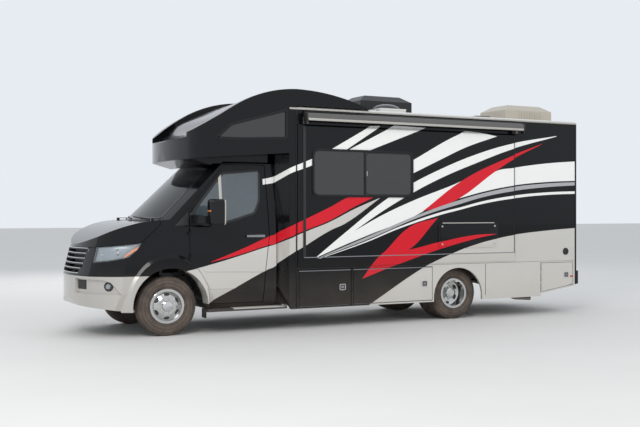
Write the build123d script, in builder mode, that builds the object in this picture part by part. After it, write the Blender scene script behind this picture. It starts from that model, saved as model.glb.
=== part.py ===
from build123d import *
import os

# Motorhome: a coach body built on the chassis and cab of a delivery van. Millimetres, +Z up, the
# ground at Z 0, the front at -X, the driver's side at -Y, and X 0, Y 0 at the middle of its length
# and width. A station is a distance behind the front axle, and a height is above the ground.

# Chassis
wheelbase = 4318
front_overhang = 1050
rear_overhang = 2322
overall_length = front_overhang + wheelbase + rear_overhang
front_axle_x = front_overhang - overall_length / 2
rail_inner = 395
rail_outer = 465
rail_bottom = 560
rail_top = 730
rail_front = -860
cross_member_height = 100
cross_member_width = 70

# Wheels and axles
tyre_radius = 384
tyre_width = 215
rim_radius = 203
rim_lip_radius = 222
rim_width = 190
rim_wall = 12
front_track = 1700
rear_outer_track = 1850
twin_spacing = 265
kingpin_inset = 150
kingpin_radius = 16
stub_axle_radius = 28
axle_tube_radius = 55
fit_clearance = 0.3
hand_hole_count = 6

# Coach body
coach_half_width = 1170
wall_thickness = 40
floor_bottom = 830
floor_top = 890
roof_height = 3036
roof_thickness = 50
coach_front = 1712
coach_rear = wheelbase + 2217
skirt_bottom = 285
skirt_top = 826
panel_gap = 6
latch_gap = 10

# Cab
cab_half_width = 1010
cab_rear = 1480
cab_wall = 55
flare_reach = 1030
pillar_wall = 30
belt_height = 1490
windscreen_rake = 1.05
cab_sill_height = 330
nose_rake = 0.24
nose_rake_height = 800
arch_radius = 490
arch_station = 30
arch_inner = 480
arch_outer = 915
arch_sheet = 14

# Hinges and doors
hinge_radius = 6
hinge_stand_off = 8
hinge_length = 40

# Slide-out room
slide_front = 1717
slide_rear = 5328
slide_bottom = 850
slide_top = 2790
slide_depth = 750
slide_wall = 30
fascia_thickness = 40
skid_height = 5


def side_view(distance=0):
    """The plane of a side drawing, this far out from the centre line on the left."""
    return Plane(origin=(front_axle_x, -distance, 0), x_dir=(1, 0, 0), z_dir=(0, -1, 0))


def plan_view(height=0):
    """The plane of a plan drawing at a height."""
    return Plane(origin=(front_axle_x, 0, height), x_dir=(1, 0, 0), z_dir=(0, 0, 1))


def front_view(station=0):
    """The plane of a drawing across the vehicle at a station."""
    return Plane(origin=(front_axle_x + station, 0, 0), x_dir=(0, 1, 0), z_dir=(1, 0, 0))


def block(front, rear, right, left, bottom, top, mode=Mode.ADD):
    """A box between two stations, two distances along Y and two heights."""
    with Locations((front_axle_x + (front + rear) / 2, (right + left) / 2, (bottom + top) / 2)):
        Box(rear - front, left - right, top - bottom, mode=mode)


def pair_of_blocks(front, rear, inner, outer, bottom, top, mode=Mode.ADD):
    """The same box on both sides, between two distances from the centre line."""
    block(front, rear, -outer, -inner, bottom, top, mode)
    block(front, rear, inner, outer, bottom, top, mode)


def side_panel(points, inner, outer, sides=(-1, 1), radius=0, grow=0, mode=Mode.ADD):
    """A flat panel from its side outline of (station, height), on one side or both."""
    faces = []
    for side in sides:
        with BuildSketch(side_view(-outer if side > 0 else inner)) as outline:
            with BuildLine():
                Polyline(*points, close=True)
            make_face()
            if radius:
                fillet(outline.vertices(), radius)
            if grow:
                offset(amount=grow)
        faces += outline.sketch.faces()
    extrude(faces, amount=outer - inner, mode=mode)


def front_panel(points, front, rear, mode=Mode.ADD):
    """A panel across the vehicle from its outline of (Y, height)."""
    with BuildSketch(front_view(front)) as outline:
        with BuildLine():
            Polyline(*points, close=True)
        make_face()
    extrude(outline.sketch, amount=rear - front, mode=mode)


def cross_cylinder(station, height, radius, inner, outer, sides=(-1, 1), mode=Mode.ADD):
    """A cylinder along Y between two distances from the centre line."""
    for side in sides:
        centre = (front_axle_x + station, side * (inner + outer) / 2, height)
        with Locations(Location(centre, (90, 0, 0))):
            Cylinder(radius, outer - inner, mode=mode)


def upright(station, width, radius, bottom, top, mode=Mode.ADD):
    """A vertical cylinder."""
    with Locations((front_axle_x + station, width, (bottom + top) / 2)):
        Cylinder(radius, top - bottom, mode=mode)


def finish(solid, name):
    """Label a finished piece and write it."""
    solid.part.label = name
    export_step(solid.part, f"parts/{name}.step")


def mirrored(solid, name):
    """Write the same piece for the other side."""
    with BuildPart() as twin:
        mirror(solid.part, about=Plane.XZ)
    finish(twin, name)


os.makedirs("parts", exist_ok=True)

# Door leaves are hinged on a vertical pin that stands just outside the skin, over the front gap.
# Each knuckle pair is a fixed lower half and a moving upper half on the same pin line.


def hinge_station(opening_front):
    """The pin stands over the middle of the gap at the opening's front edge."""
    return opening_front + panel_gap / 2


def knuckles(side, opening_front, skin, heights, moving, reach=28, depth=2):
    """Half of each hinge on a vertical pin: a barrel and its leaf, let into the skin by a depth."""
    station = hinge_station(opening_front)
    pin = skin + hinge_stand_off
    for height in heights:
        low = height + (hinge_length + fit_clearance if moving else 0)
        upright(station, side * pin, hinge_radius, low, low + hinge_length)
        leaf = (station, station + reach) if moving else (station - reach, station)
        edges = sorted((side * (skin - depth), side * (skin + hinge_radius)))
        block(leaf[0], leaf[1], edges[0], edges[1], low, low + hinge_length)


# Ladder frame, front axle arms, springs and floor bearers
cross_member_stations = (-800, 1560, 2560, 3560, 5400, 6100)
bearer_stations = (1560, 2560, 3560, 5400, 6100)
bearer_half_length = 600
spring_half_length = 680
spring_thickness = 28
hitch_station = 6300
hitch_hole_pitch = 120
hitch_hole_radius = 8.5
arm_half_width = 34
arm_thickness = 30
arm_lower = 285
arm_upper = 455
kingpin_y = front_track / 2 - kingpin_inset
axle_top = tyre_radius + axle_tube_radius

with BuildPart() as ladder_frame:
    pair_of_blocks(rail_front, coach_rear - wall_thickness, rail_inner, rail_outer, rail_bottom, rail_top)
    middle = (rail_bottom + rail_top) / 2
    for station in cross_member_stations:
        block(station, station + cross_member_width, -rail_inner, rail_inner,
              middle - cross_member_height / 2, middle + cross_member_height / 2)
    for station in bearer_stations:
        block(station, station + cross_member_width, -bearer_half_length, bearer_half_length,
              rail_top, floor_bottom)
    block(-2 * arm_half_width, 2 * arm_half_width, -rail_outer, rail_outer,
          arm_lower, arm_lower + arm_thickness)
    pair_of_blocks(-arm_half_width, arm_half_width, rail_inner, rail_outer,
                   arm_lower, rail_bottom)
    for level in (arm_lower, arm_upper):
        pair_of_blocks(-arm_half_width, arm_half_width, rail_inner, kingpin_y,
                       level, level + arm_thickness)
        for side in (-1, 1):
            upright(0, side * kingpin_y, arm_half_width, level, level + arm_thickness)
            upright(0, side * kingpin_y, kingpin_radius + fit_clearance,
                    level - 1, level + arm_thickness + 1, Mode.SUBTRACT)
    spring_low = axle_top + fit_clearance
    pair_of_blocks(wheelbase - spring_half_length, wheelbase + spring_half_length,
                   rail_inner, rail_outer, spring_low, spring_low + spring_thickness)
    for end in (-1, 1):
        hanger = wheelbase + end * (spring_half_length - 25)
        pair_of_blocks(hanger - 25, hanger + 25, rail_inner, rail_outer, spring_low, rail_bottom)
    block(-320, -240, -rail_outer, rail_outer, rail_bottom - 60, rail_bottom)
    for hole in GridLocations(hitch_hole_pitch, rail_inner + rail_outer, 2, 2).local_locations:
        upright(hitch_station + hole.position.X, hole.position.Y, hitch_hole_radius,
                rail_bottom - 1, rail_top + 1, Mode.SUBTRACT)
finish(ladder_frame, "ladder_frame")

# Engine as one plain block with its gearbox, and the radiator between the rails
engine_half_width = 260
with BuildPart() as engine_block:
    block(-650, 20, -engine_half_width, engine_half_width, rail_bottom, 1120)
    block(20, 700, -140, 140, 480, 690)
    block(-855, -805, -rail_inner, rail_inner, rail_top - 150, 1100)
finish(engine_block, "engine_block")

# Rear axle with its differential and the propeller shaft
hub_face = (rear_outer_track - twin_spacing) / 2
with BuildPart() as rear_axle:
    cross_cylinder(wheelbase, tyre_radius, axle_tube_radius, 0, hub_face - 60)
    cross_cylinder(wheelbase, tyre_radius, stub_axle_radius, 0, hub_face + 90)
    cross_cylinder(wheelbase, tyre_radius, 160, hub_face - 140, hub_face - 110)
    with Locations((front_axle_x + wheelbase, 0, tyre_radius)):
        Sphere(150)
    with BuildSketch(front_view(700 + fit_clearance)):
        with Locations((0, 585)):
            Circle(40)
    with BuildSketch(front_view(wheelbase - 100)):
        with Locations((0, tyre_radius)):
            Circle(40)
    loft()
finish(rear_axle, "rear_axle")

# Exhaust along the left rail, with its silencer and a tail pipe that turns out behind the wheel
pipe_radius = 30
pipe_y = -325
pipe_height = 500
exhaust_route = (
    (-200, pipe_y, 640), (300, pipe_y, pipe_height), (5150, pipe_y, pipe_height),
    (5420, -640, 380), (5480, -930, 262), (5760, -985, 245))
with BuildPart() as exhaust:
    with BuildLine() as route:
        FilletPolyline(*[(front_axle_x + s, y, z) for s, y, z in exhaust_route], radius=90)
    with BuildSketch(Plane(origin=route.line @ 0, z_dir=route.line % 0)):
        Circle(pipe_radius)
    sweep()
    block(1700, 2350, -rail_inner + 15, pipe_y + 120, pipe_height - 70, rail_bottom)
    block(-400, -100, pipe_y - pipe_radius, -engine_half_width, 600, 680)
finish(exhaust, "exhaust")

# Waste water tank between the rails behind the rear axle
with BuildPart() as waste_tank:
    block(5380, 6180, -100, rail_inner - 20, rail_bottom - 90, rail_bottom + 35)
    fillet(waste_tank.edges().filter_by(Axis.Z), 40)
finish(waste_tank, "waste_tank")


def across(side, station, plane_y):
    """A plane through a wheel's axis line, its local x outboard and its local y up."""
    return Plane(origin=(front_axle_x + station, side * plane_y, tyre_radius),
                 x_dir=(0, side, 0), z_dir=(side, 0, 0))


def tyre(side, station, plane_y):
    """One tyre, revolved about its axle line."""
    half = tyre_width / 2
    bead = rim_radius + fit_clearance
    with BuildSketch(across(side, station, plane_y)) as section:
        with BuildLine():
            inner = Line((-half + 35, bead), (half - 35, bead))
            right = ThreePointArc(inner @ 1, (half, 292), (half - 22, tyre_radius - 14))
            crown_right = Line(right @ 1, (half - 40, tyre_radius))
            tread = Line(crown_right @ 1, (40 - half, tyre_radius))
            crown_left = Line(tread @ 1, (22 - half, tyre_radius - 14))
            ThreePointArc(crown_left @ 1, (-half, 292), inner @ 0)
        make_face()
    axis = Axis((front_axle_x + station, side * plane_y, tyre_radius), (0, 1, 0))
    revolve(section.sketch, axis=axis)


def rim(side, station, plane_y, disc, hub):
    """One steel wheel: barrel, lips, and a disc and hub from (outboard, radius) points."""
    half = rim_width / 2
    axis = Axis((front_axle_x + station, side * plane_y, tyre_radius), (0, 1, 0))
    barrel = [(-half, rim_lip_radius), (-half, rim_radius - rim_wall), (half, rim_radius - rim_wall),
              (half, rim_lip_radius), (half - 8, rim_lip_radius), (half - 14, rim_radius),
              (14 - half, rim_radius), (8 - half, rim_lip_radius)]
    for outline in (barrel, disc, hub):
        with BuildSketch(across(side, station, plane_y)) as section:
            with BuildLine():
                Polyline(*outline, close=True)
            make_face()
        revolve(section.sketch, axis=axis)


def hub_bore(side, station, start, end):
    """The bore that a stub axle runs in."""
    cross_cylinder(station, tyre_radius, stub_axle_radius + fit_clearance, start, end, (side,),
                   mode=Mode.SUBTRACT)


def hand_holes(side, station, plane_y, reach):
    """The ring of oval holes through a wheel's disc."""
    plane = Plane(origin=(front_axle_x + station, side * plane_y, tyre_radius),
                  x_dir=(1, 0, 0), z_dir=(0, side, 0))
    with BuildSketch(plane) as holes:
        with PolarLocations(150, hand_hole_count, start_angle=30):
            Ellipse(15, 23)
    extrude(holes.sketch, amount=reach, both=True, mode=Mode.SUBTRACT)


# Front wheels: the disc stands out to the lip. Rear wheels: twin rims back to back on one hub.
front_disc = [(38, 193), (48, 193), (84, 118), (84, 60), (72, 60), (72, 112)]
front_hub = [(-50, 0), (-50, 62), (104, 62), (108, 40), (108, 0)]
rear_offset = twin_spacing / 2 - 2
outer_disc = [(-86, 193), (-76, 193), (-rear_offset + 14, 120), (-rear_offset + 14, 60),
              (-rear_offset, 60), (-rear_offset, 124)]
outer_hub = [(-rear_offset - 20, 0), (-rear_offset - 20, 78), (20, 78), (34, 50), (34, 0)]
inner_disc = [(86, 193), (76, 193), (rear_offset - 14, 120), (rear_offset - 14, 60),
              (rear_offset, 60), (rear_offset, 124)]
inner_hub = [(rear_offset - 14, 0), (rear_offset - 14, 62), (rear_offset + 30, 62), (rear_offset + 30, 0)]
front_plane = front_track / 2
rear_plane = rear_outer_track / 2
inner_plane = rear_plane - twin_spacing

for side, word in ((-1, "left"), (1, "right")):
    with BuildPart() as front_wheel:
        rim(side, 0, front_plane, front_disc, front_hub)
        hub_bore(side, 0, kingpin_y, front_plane + 80)
        hand_holes(side, 0, front_plane + 66, 30)
    finish(front_wheel, f"wheel_front_{word}")
    with BuildPart() as front_tyre:
        tyre(side, 0, front_plane)
    finish(front_tyre, f"tyre_front_{word}")
    with BuildPart() as rear_wheel:
        rim(side, wheelbase, rear_plane, outer_disc, outer_hub)
        rim(side, wheelbase, inner_plane, inner_disc, inner_hub)
        hub_bore(side, wheelbase, inner_plane, hub_face + 95)
        hand_holes(side, wheelbase, hub_face, 60)
    finish(rear_wheel, f"wheel_rear_{word}")
    with BuildPart() as rear_tyres:
        tyre(side, wheelbase, rear_plane)
        tyre(side, wheelbase, inner_plane)
    finish(rear_tyres, f"tyre_rear_{word}")
    # Steering knuckle: kingpin through both arms, with the stub axle that the wheel turns on
    with BuildPart() as knuckle:
        upright(0, side * kingpin_y, arm_half_width,
                arm_lower + arm_thickness + fit_clearance, arm_upper - fit_clearance)
        upright(0, side * kingpin_y, kingpin_radius, arm_lower, arm_upper + arm_thickness)
        cross_cylinder(0, tyre_radius, stub_axle_radius, kingpin_y, front_plane + 75, (side,))
    finish(knuckle, f"knuckle_{word}")

# Cab form: side profile, plan and section across, each taken in by the wall for the inside
nose_corner = (-930, 700)
bonnet_front = (-985, 1160)
cowl = (-200, 1485)
cab_section = [(930, 150), (955, 330), (1000, 560), (cab_half_width, 820), (1005, 1050),
               (992, 1400), (982, 1500), (872, 2250), (815, 2322), (640, 2360)]
cab_roof_line = [(200, 2255), (600, 2285), (cab_rear, 2350)]


def section_across(inset):
    """The cab's section across, drawn ahead of the nose."""
    other_side = [(-y, z) for y, z in reversed(cab_section)]
    with BuildSketch(front_view(-front_overhang - 200)) as section:
        with BuildLine():
            Polyline(*cab_section, *other_side, close=True)
        make_face()
        if inset:
            offset(amount=-inset)
    return section.sketch


def cab_lower(inset):
    """The bonnet, wings and doors up to the belt line."""
    rear = cab_rear + 3 * inset
    flank = cab_half_width + 40
    plan_bottom = cab_sill_height - 100
    with BuildPart() as form:
        with BuildSketch(plan_view(plan_bottom)) as plan:
            with BuildLine():
                left_flank = Line((rear, -flank), (-150, -flank))
                left_corner = ThreePointArc(left_flank @ 1, (-740, -915), (nose_corner[0], -nose_corner[1]))
                nose = ThreePointArc(left_corner @ 1, (-front_overhang, 0), nose_corner)
                right_corner = ThreePointArc(nose @ 1, (-740, 915), (-150, flank))
                right_flank = Line(right_corner @ 1, (rear, flank))
                Line(right_flank @ 1, left_flank @ 0)
            make_face()
            if inset:
                offset(amount=-inset)
        extrude(plan.sketch, amount=nose_rake_height - plan_bottom)
        raked = plan.sketch.moved(Location((0, 0, nose_rake_height - plan_bottom)))
        slope = Vector(nose_rake, 0, 1)
        extrude(raked, amount=900 * slope.length, dir=slope.normalized())
        with BuildSketch(side_view()) as profile:
            with BuildLine():
                Polyline((rear, 1500), (rear, cab_sill_height), (-450, cab_sill_height), (-1000, 405),
                         (-1065, 520), (-1056, 800), bonnet_front)
                ThreePointArc(bonnet_front, (-620, 1385), cowl)
                Polyline(cowl, (0, 1500), (rear, 1500))
            make_face()
            if inset:
                offset(amount=-inset, kind=Kind.INTERSECTION)
        extrude(profile.sketch, amount=1300, both=True, mode=Mode.INTERSECT)
        extrude(section_across(inset), amount=3400, mode=Mode.INTERSECT)
    return form.part


def cab_upper(inset):
    """Windscreen, pillars and roof: a plan outline sheared back up the windscreen's rake."""
    rear = cab_rear + 3 * inset
    low = belt_height - 3 * inset
    lean = (low - belt_height) * windscreen_rake
    height = 1100
    with BuildSketch(plan_view(low)) as outline:
        with BuildLine():
            screen = ThreePointArc((20 + lean, -1000), (-200 + lean, 0), (20 + lean, 1000))
            right = Line(screen @ 1, (rear, 1000))
            back = Line(right @ 1, (rear, -1000))
            Line(back @ 1, screen @ 0)
        make_face()
        if inset:
            offset(amount=-inset)
    with BuildSketch(side_view()) as profile:
        with BuildLine():
            Polyline((-600, low), (-600, 2255), *cab_roof_line, (rear + 400, 2380), (rear + 400, low),
                     close=True)
        make_face()
        if inset:
            offset(amount=-inset, kind=Kind.INTERSECTION)
    slope = Vector(windscreen_rake, 0, 1).normalized()
    with BuildPart() as form:
        extrude(outline.sketch, amount=height / slope.Z, dir=slope)
        extrude(section_across(inset), amount=3400, mode=Mode.INTERSECT)
        extrude(profile.sketch, amount=1300, both=True, mode=Mode.INTERSECT)
    return form.part


def flares():
    """The swellings round both front wheels, fading into the wings."""
    with BuildPart() as form:
        for side in (-1, 1):
            swelling = []
            for reach, half_length, half_height in ((960, 620, 690), (flare_reach, 505, 555)):
                with BuildSketch(side_view(-side * reach)) as outline:
                    with Locations((20, 450)):
                        Ellipse(half_length, half_height)
                swelling.append(outline.sketch)
            loft(swelling)
        block(-700, 700, -1100, 1100, -300, cab_sill_height, Mode.SUBTRACT)
    return form.part


with BuildPart() as cab_skin:
    add(cab_lower(0))
    add(cab_upper(0))
    add(flares())
    block(cab_rear, cab_rear + 900, -1400, 1400, 0, 3000, Mode.SUBTRACT)
    add(cab_lower(cab_wall), mode=Mode.SUBTRACT)
    add(cab_upper(pillar_wall), mode=Mode.SUBTRACT)
    block(-880, -450, -640, 640, 250, 470, Mode.SUBTRACT)
    block(-450, cab_rear + 10, -870, 870, 250, 470, Mode.SUBTRACT)

# Outlines of the cab's openings as (station, height), the panel gap lying inside each
door_outline = [(277, 965), (277, 1640), (790, 2234), (1362, 2234), (1389, 1264), (1330, 810),
                (1305, 386), (552, 386), (519, 633), (415, 815)]
door_glass_outline = [(460, 1425), (330, 1600), (755, 2115), (1279, 2165), (1257, 1746), (1184, 1581),
                      (770, 1454)]
door_glass_radius = 30
bumper_outline = [(-1300, 100), (-1300, 785), (-237, 785), (-452, 332), (-452, 100)]
lamp_outline = [(-1150, 1143), (-900, 1143), (-345, 1203), (-396, 1121), (-512, 1025), (-684, 985),
                (-893, 955), (-1150, 955)]
lamp_inner = 715
lamp_pocket_outline = [(-1200, 752), (-968, 751), (-802, 742), (-713, 708), (-599, 560), (-1200, 570)]
lamp_pocket_depth = 35
bonnet_outline = [(-1300, 1143), (-900, 1143), (-345, 1203), (-58, 1476), (-58, 1900), (-1300, 1900)]
grille_top = 1130
grille_bottom = 812
grille_outline = [(-560, grille_top), (560, grille_top), (530, 880), (440, grille_bottom),
                  (-440, grille_bottom), (-530, 880)]
screen_outline = [(-800, 1506), (800, 1506), (700, 2205), (-700, 2205)]
lamp_seam = 3
cab_hinge_heights = (980, 1300)
bonnet_rear = bonnet_outline[3][0]
bonnet_pin_station = bonnet_rear + 12
bonnet_pin_height = 1514
bonnet_hinge_y = 860
inner_sill = 850
outer_sill = 890
cab_floor_top = rail_top + 55


def bonnet_region(inset):
    """The space that the bonnet takes: above its side line and ahead of its curved rear edge."""
    with BuildPart() as region:
        side_panel(bonnet_outline, -1300, 1300, sides=(-1,), grow=-inset)
        with BuildSketch(plan_view(1000)) as plan:
            with BuildLine():
                rear_edge = ThreePointArc((bonnet_rear, -1100), (bonnet_rear - 185, 0), (bonnet_rear, 1100))
                Polyline(rear_edge @ 1, (-1400, 1100), (-1400, -1100), rear_edge @ 0)
            make_face()
            if inset:
                offset(amount=-inset)
        extrude(plan.sketch, amount=900, mode=Mode.INTERSECT)
    return region.part


def wheel_arches(mode):
    """Both front arches, open from the inner wing outwards."""
    cross_cylinder(arch_station, tyre_radius, arch_radius, arch_inner, coach_half_width, mode=mode)


with BuildPart() as cab_body:
    add(cab_skin.part)
    add(bonnet_region(0), mode=Mode.SUBTRACT)
    side_panel(door_outline, 800, 1300, mode=Mode.SUBTRACT)
    side_panel(bumper_outline, -1300, 1300, sides=(-1,), mode=Mode.SUBTRACT)
    side_panel(lamp_outline, lamp_inner, 1300, mode=Mode.SUBTRACT)
    front_panel(grille_outline, -1300, -600, mode=Mode.SUBTRACT)
    front_panel(screen_outline, -500, 900, mode=Mode.SUBTRACT)
    wheel_arches(Mode.SUBTRACT)
    # Floor, inner sills, dash panel and wheel houses
    block(40, cab_rear, -450, 450, rail_top, cab_floor_top)
    block(540, cab_rear, -outer_sill, outer_sill, rail_top, cab_floor_top)
    block(40, 80, -930, 930, cab_floor_top, 1440)
    cross_cylinder(arch_station, tyre_radius, arch_radius + arch_sheet, arch_inner, arch_outer)
    cross_cylinder(arch_station, tyre_radius, arch_radius, arch_inner - 20, 1100, mode=Mode.SUBTRACT)
    pair_of_blocks(-700, 700, arch_inner - 30, 1100, -200, cab_sill_height, Mode.SUBTRACT)
    pair_of_blocks(540, cab_rear, inner_sill, outer_sill, cab_sill_height, cab_floor_top)
    for side in (-1, 1):
        knuckles(side, door_outline[0][0], cab_half_width, cab_hinge_heights, moving=False, depth=20)
        spread = sorted((side * bonnet_hinge_y, side * (bonnet_hinge_y + 30)))
        centre = (front_axle_x + bonnet_pin_station, sum(spread) / 2, bonnet_pin_height)
        with Locations(Location(centre, (90, 0, 0))):
            Cylinder(hinge_radius, 30)
        block(bonnet_pin_station - 4, bonnet_pin_station + 4, spread[0], spread[1],
              1480, bonnet_pin_height)
finish(cab_body, "cab_body")

with BuildPart() as bonnet:
    add(cab_skin.part)
    add(bonnet_region(panel_gap), mode=Mode.INTERSECT)
    for side in (-1, 1):
        spread = sorted((side * (bonnet_hinge_y - 30 - fit_clearance), side * (bonnet_hinge_y - fit_clearance)))
        centre = (front_axle_x + bonnet_pin_station, sum(spread) / 2, bonnet_pin_height)
        with Locations(Location(centre, (90, 0, 0))):
            Cylinder(hinge_radius, 30)
        block(bonnet_pin_station - 140, bonnet_pin_station, spread[0], spread[1],
              bonnet_pin_height - 4, bonnet_pin_height + 4)
        block(bonnet_pin_station - 140, bonnet_pin_station - 104, spread[0], spread[1],
              1460, bonnet_pin_height)
finish(bonnet, "bonnet")

with BuildPart() as front_bumper:
    add(cab_skin.part)
    side_panel(bumper_outline, -1300, 1300, sides=(-1,), grow=-lamp_seam / 2, mode=Mode.INTERSECT)
    wheel_arches(Mode.SUBTRACT)
    cross_cylinder(arch_station, tyre_radius, arch_radius + arch_sheet + 2, arch_inner - 20, arch_outer + 2,
                   mode=Mode.SUBTRACT)
    pair_of_blocks(-960, rail_front, rail_inner, rail_outer, 600, 700)
    with BuildPart(mode=Mode.PRIVATE) as lamp_pockets:
        side_panel(lamp_pocket_outline, 350, 1300)
        add(cab_lower(lamp_pocket_depth), mode=Mode.SUBTRACT)
    add(lamp_pockets.part, mode=Mode.SUBTRACT)
finish(front_bumper, "front_bumper")

with BuildPart() as headlamps:
    add(cab_skin.part)
    side_panel(lamp_outline, lamp_inner, 1300, grow=-lamp_seam / 3, mode=Mode.INTERSECT)
finish(headlamps, "headlamps")

grille_bar_count = 4
grille_bar = 26
with BuildPart() as grille:
    add(cab_skin.part)
    front_panel(grille_outline, -1300, -600, mode=Mode.INTERSECT)
    pitch = (grille_top - grille_bottom) / (grille_bar_count + 1)
    for number in range(grille_bar_count + 1):
        low = grille_bottom + pitch * number + grille_bar / 2
        reach = 420 if number == 0 else 500
        block(-1300, -600, -reach, reach, low, low + pitch - grille_bar, Mode.SUBTRACT)
finish(grille, "grille")

with BuildPart() as windscreen:
    add(cab_skin.part)
    front_panel(screen_outline, -500, 900, mode=Mode.INTERSECT)
finish(windscreen, "windscreen")

with BuildPart() as dashboard:
    block(80, 430, -850, 850, 1180, 1400)
    fillet(dashboard.edges().filter_by(Axis.Y).group_by(Axis.X)[-1], 70)
    column = Plane(origin=(front_axle_x + 520, -440, 1330), x_dir=(0, 1, 0), z_dir=(1, 0, 0.55))
    with BuildSketch(column):
        Circle(60)
    extrude(amount=-180)
    with BuildSketch(Plane(origin=column.origin, x_dir=column.z_dir, z_dir=(0, -1, 0))):
        with Locations((0, 190)):
            Circle(16)
    revolve(axis=Axis(column.origin, column.z_dir))
    with BuildSketch(column):
        Rectangle(380, 40)
    extrude(amount=-14)
finish(dashboard, "dashboard")

# Two cab seats: pedestal, cushion, back and headrest
seat_y = 440
with BuildPart() as cab_seats:
    for side in (-1, 1):
        centre = side * seat_y
        block(760, 1220, centre - 200, centre + 200, rail_top + 55, 1060)
        block(700, 1280, centre - 260, centre + 260, 1060, 1200)
        side_panel([(1170, 1200), (1290, 1200), (1420, 1820), (1310, 1840)],
                   seat_y - 250, seat_y + 250, sides=(side,))
        side_panel([(1330, 1825), (1405, 1815), (1430, 1990), (1360, 2000)],
                   seat_y - 130, seat_y + 130, sides=(side,))
finish(cab_seats, "cab_seats")

# Cab doors, hinged on the front edge. The glass fills its opening, and the mirror stands on an arm.
with BuildPart() as door_left:
    add(cab_skin.part)
    side_panel(door_outline, 800, 1300, sides=(-1,), grow=-panel_gap, mode=Mode.INTERSECT)
    side_panel([(1500, 2234), *door_outline[3:7], (1250, 300), (1500, 300)],
               700, 1300, sides=(-1,), grow=latch_gap, mode=Mode.SUBTRACT)
    side_panel(door_glass_outline, 700, 1300, sides=(-1,), radius=door_glass_radius, mode=Mode.SUBTRACT)
    knuckles(-1, door_outline[0][0], cab_half_width, cab_hinge_heights, moving=True, depth=20)
finish(door_left, "door_left")
mirrored(door_left, "door_right")

with BuildPart() as door_glass_left:
    add(cab_skin.part)
    side_panel(door_glass_outline, 700, 1300, sides=(-1,), radius=door_glass_radius, mode=Mode.INTERSECT)
finish(door_glass_left, "door_glass_left")
mirrored(door_glass_left, "door_glass_right")

mirror_outer = 1370
with BuildPart() as mirror_left:
    block(440, 640, -mirror_outer, -1190, 1430, 1765)
    fillet(mirror_left.edges(), 42)
    side_panel([(300, 1450), (480, 1450), (480, 1540), (330, 1560)], 1004, 1240, sides=(-1,))
    side_panel([(295, 1440), (430, 1440), (345, 1560), (295, 1560)], 975, 1006, sides=(-1,))
    add(door_left.part, mode=Mode.SUBTRACT)
    add(door_glass_left.part, mode=Mode.SUBTRACT)
finish(mirror_left, "mirror_left")
mirrored(mirror_left, "mirror_right")

# Running boards, each with a mud flap at its front end
with BuildPart() as running_boards:
    pair_of_blocks(490, 1600, inner_sill, 1090, cab_sill_height - 37, cab_sill_height)
    pair_of_blocks(490, 500, inner_sill, 1010, 210, cab_sill_height - 37)
finish(running_boards, "running_boards")

# Coach floor with the skids that the slide-out's floor runs on
skid_stations = (2300, 3500, 4700)
slide_box_bottom = floor_top + skid_height + fit_clearance
floor_tongue = 880
with BuildPart() as coach_floor:
    inner = coach_half_width - wall_thickness
    block(coach_front, coach_rear - wall_thickness, -inner, inner, floor_bottom, floor_top)
    block(cab_rear + 10, coach_front, -floor_tongue, floor_tongue, floor_bottom, floor_top)
    for station in skid_stations:
        block(station, station + 60, -inner, -inner + slide_depth - 60, floor_top, floor_top + skid_height)
finish(coach_floor, "coach_floor")

# Walls. Openings as (front, rear, bottom, top).
slide_clearance = 8
slide_box = (slide_front + 91, slide_rear - 86, slide_box_bottom, slide_top - 78)
slide_opening = (slide_box[0] - slide_clearance, slide_box[1] + slide_clearance,
                 floor_top, slide_box[3] + slide_clearance)
entry_opening = (2960, 3620, 870, 2740)
right_windows = ((1980, 2700, 1780, 2430), (4250, 5350, 1780, 2430))
wall_inner = coach_half_width - wall_thickness
wall_top = roof_height - roof_thickness


def rectangle(opening, inset=0):
    """The four corners of an opening, taken in all round."""
    front, rear, bottom, top = opening
    return [(front + inset, bottom + inset), (rear - inset, bottom + inset),
            (rear - inset, top - inset), (front + inset, top - inset)]


with BuildPart() as left_wall:
    block(coach_front, coach_rear - wall_thickness, -coach_half_width, -wall_inner, floor_bottom, wall_top)
    side_panel(rectangle(slide_opening), 1000, 1300, sides=(-1,), mode=Mode.SUBTRACT)
    front_panel([(-coach_half_width, 2930), (-1215, 2925), (-1228, 2940), (-coach_half_width, 2985)],
                1800, 5450)
finish(left_wall, "left_wall")

with BuildPart() as right_wall:
    block(coach_front, coach_rear - wall_thickness, wall_inner, coach_half_width, floor_bottom, wall_top)
    side_panel(rectangle(entry_opening), 1000, 1300, sides=(1,), mode=Mode.SUBTRACT)
    for window in right_windows:
        side_panel(rectangle(window), 1000, 1300, sides=(1,), radius=60, mode=Mode.SUBTRACT)
    knuckles(1, entry_opening[0], coach_half_width, (1000, 1700, 2450), moving=False)
finish(right_wall, "right_wall")

rear_window = [(-480, 1800), (480, 1800), (480, 2400), (-480, 2400)]
rear_wall_bottom = 440
with BuildPart() as rear_wall:
    block(coach_rear - wall_thickness, coach_rear, -coach_half_width, coach_half_width,
          rear_wall_bottom, wall_top)
    front_panel(rear_window, coach_rear - 200, coach_rear + 200, mode=Mode.SUBTRACT)
finish(rear_wall, "rear_wall")

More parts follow.
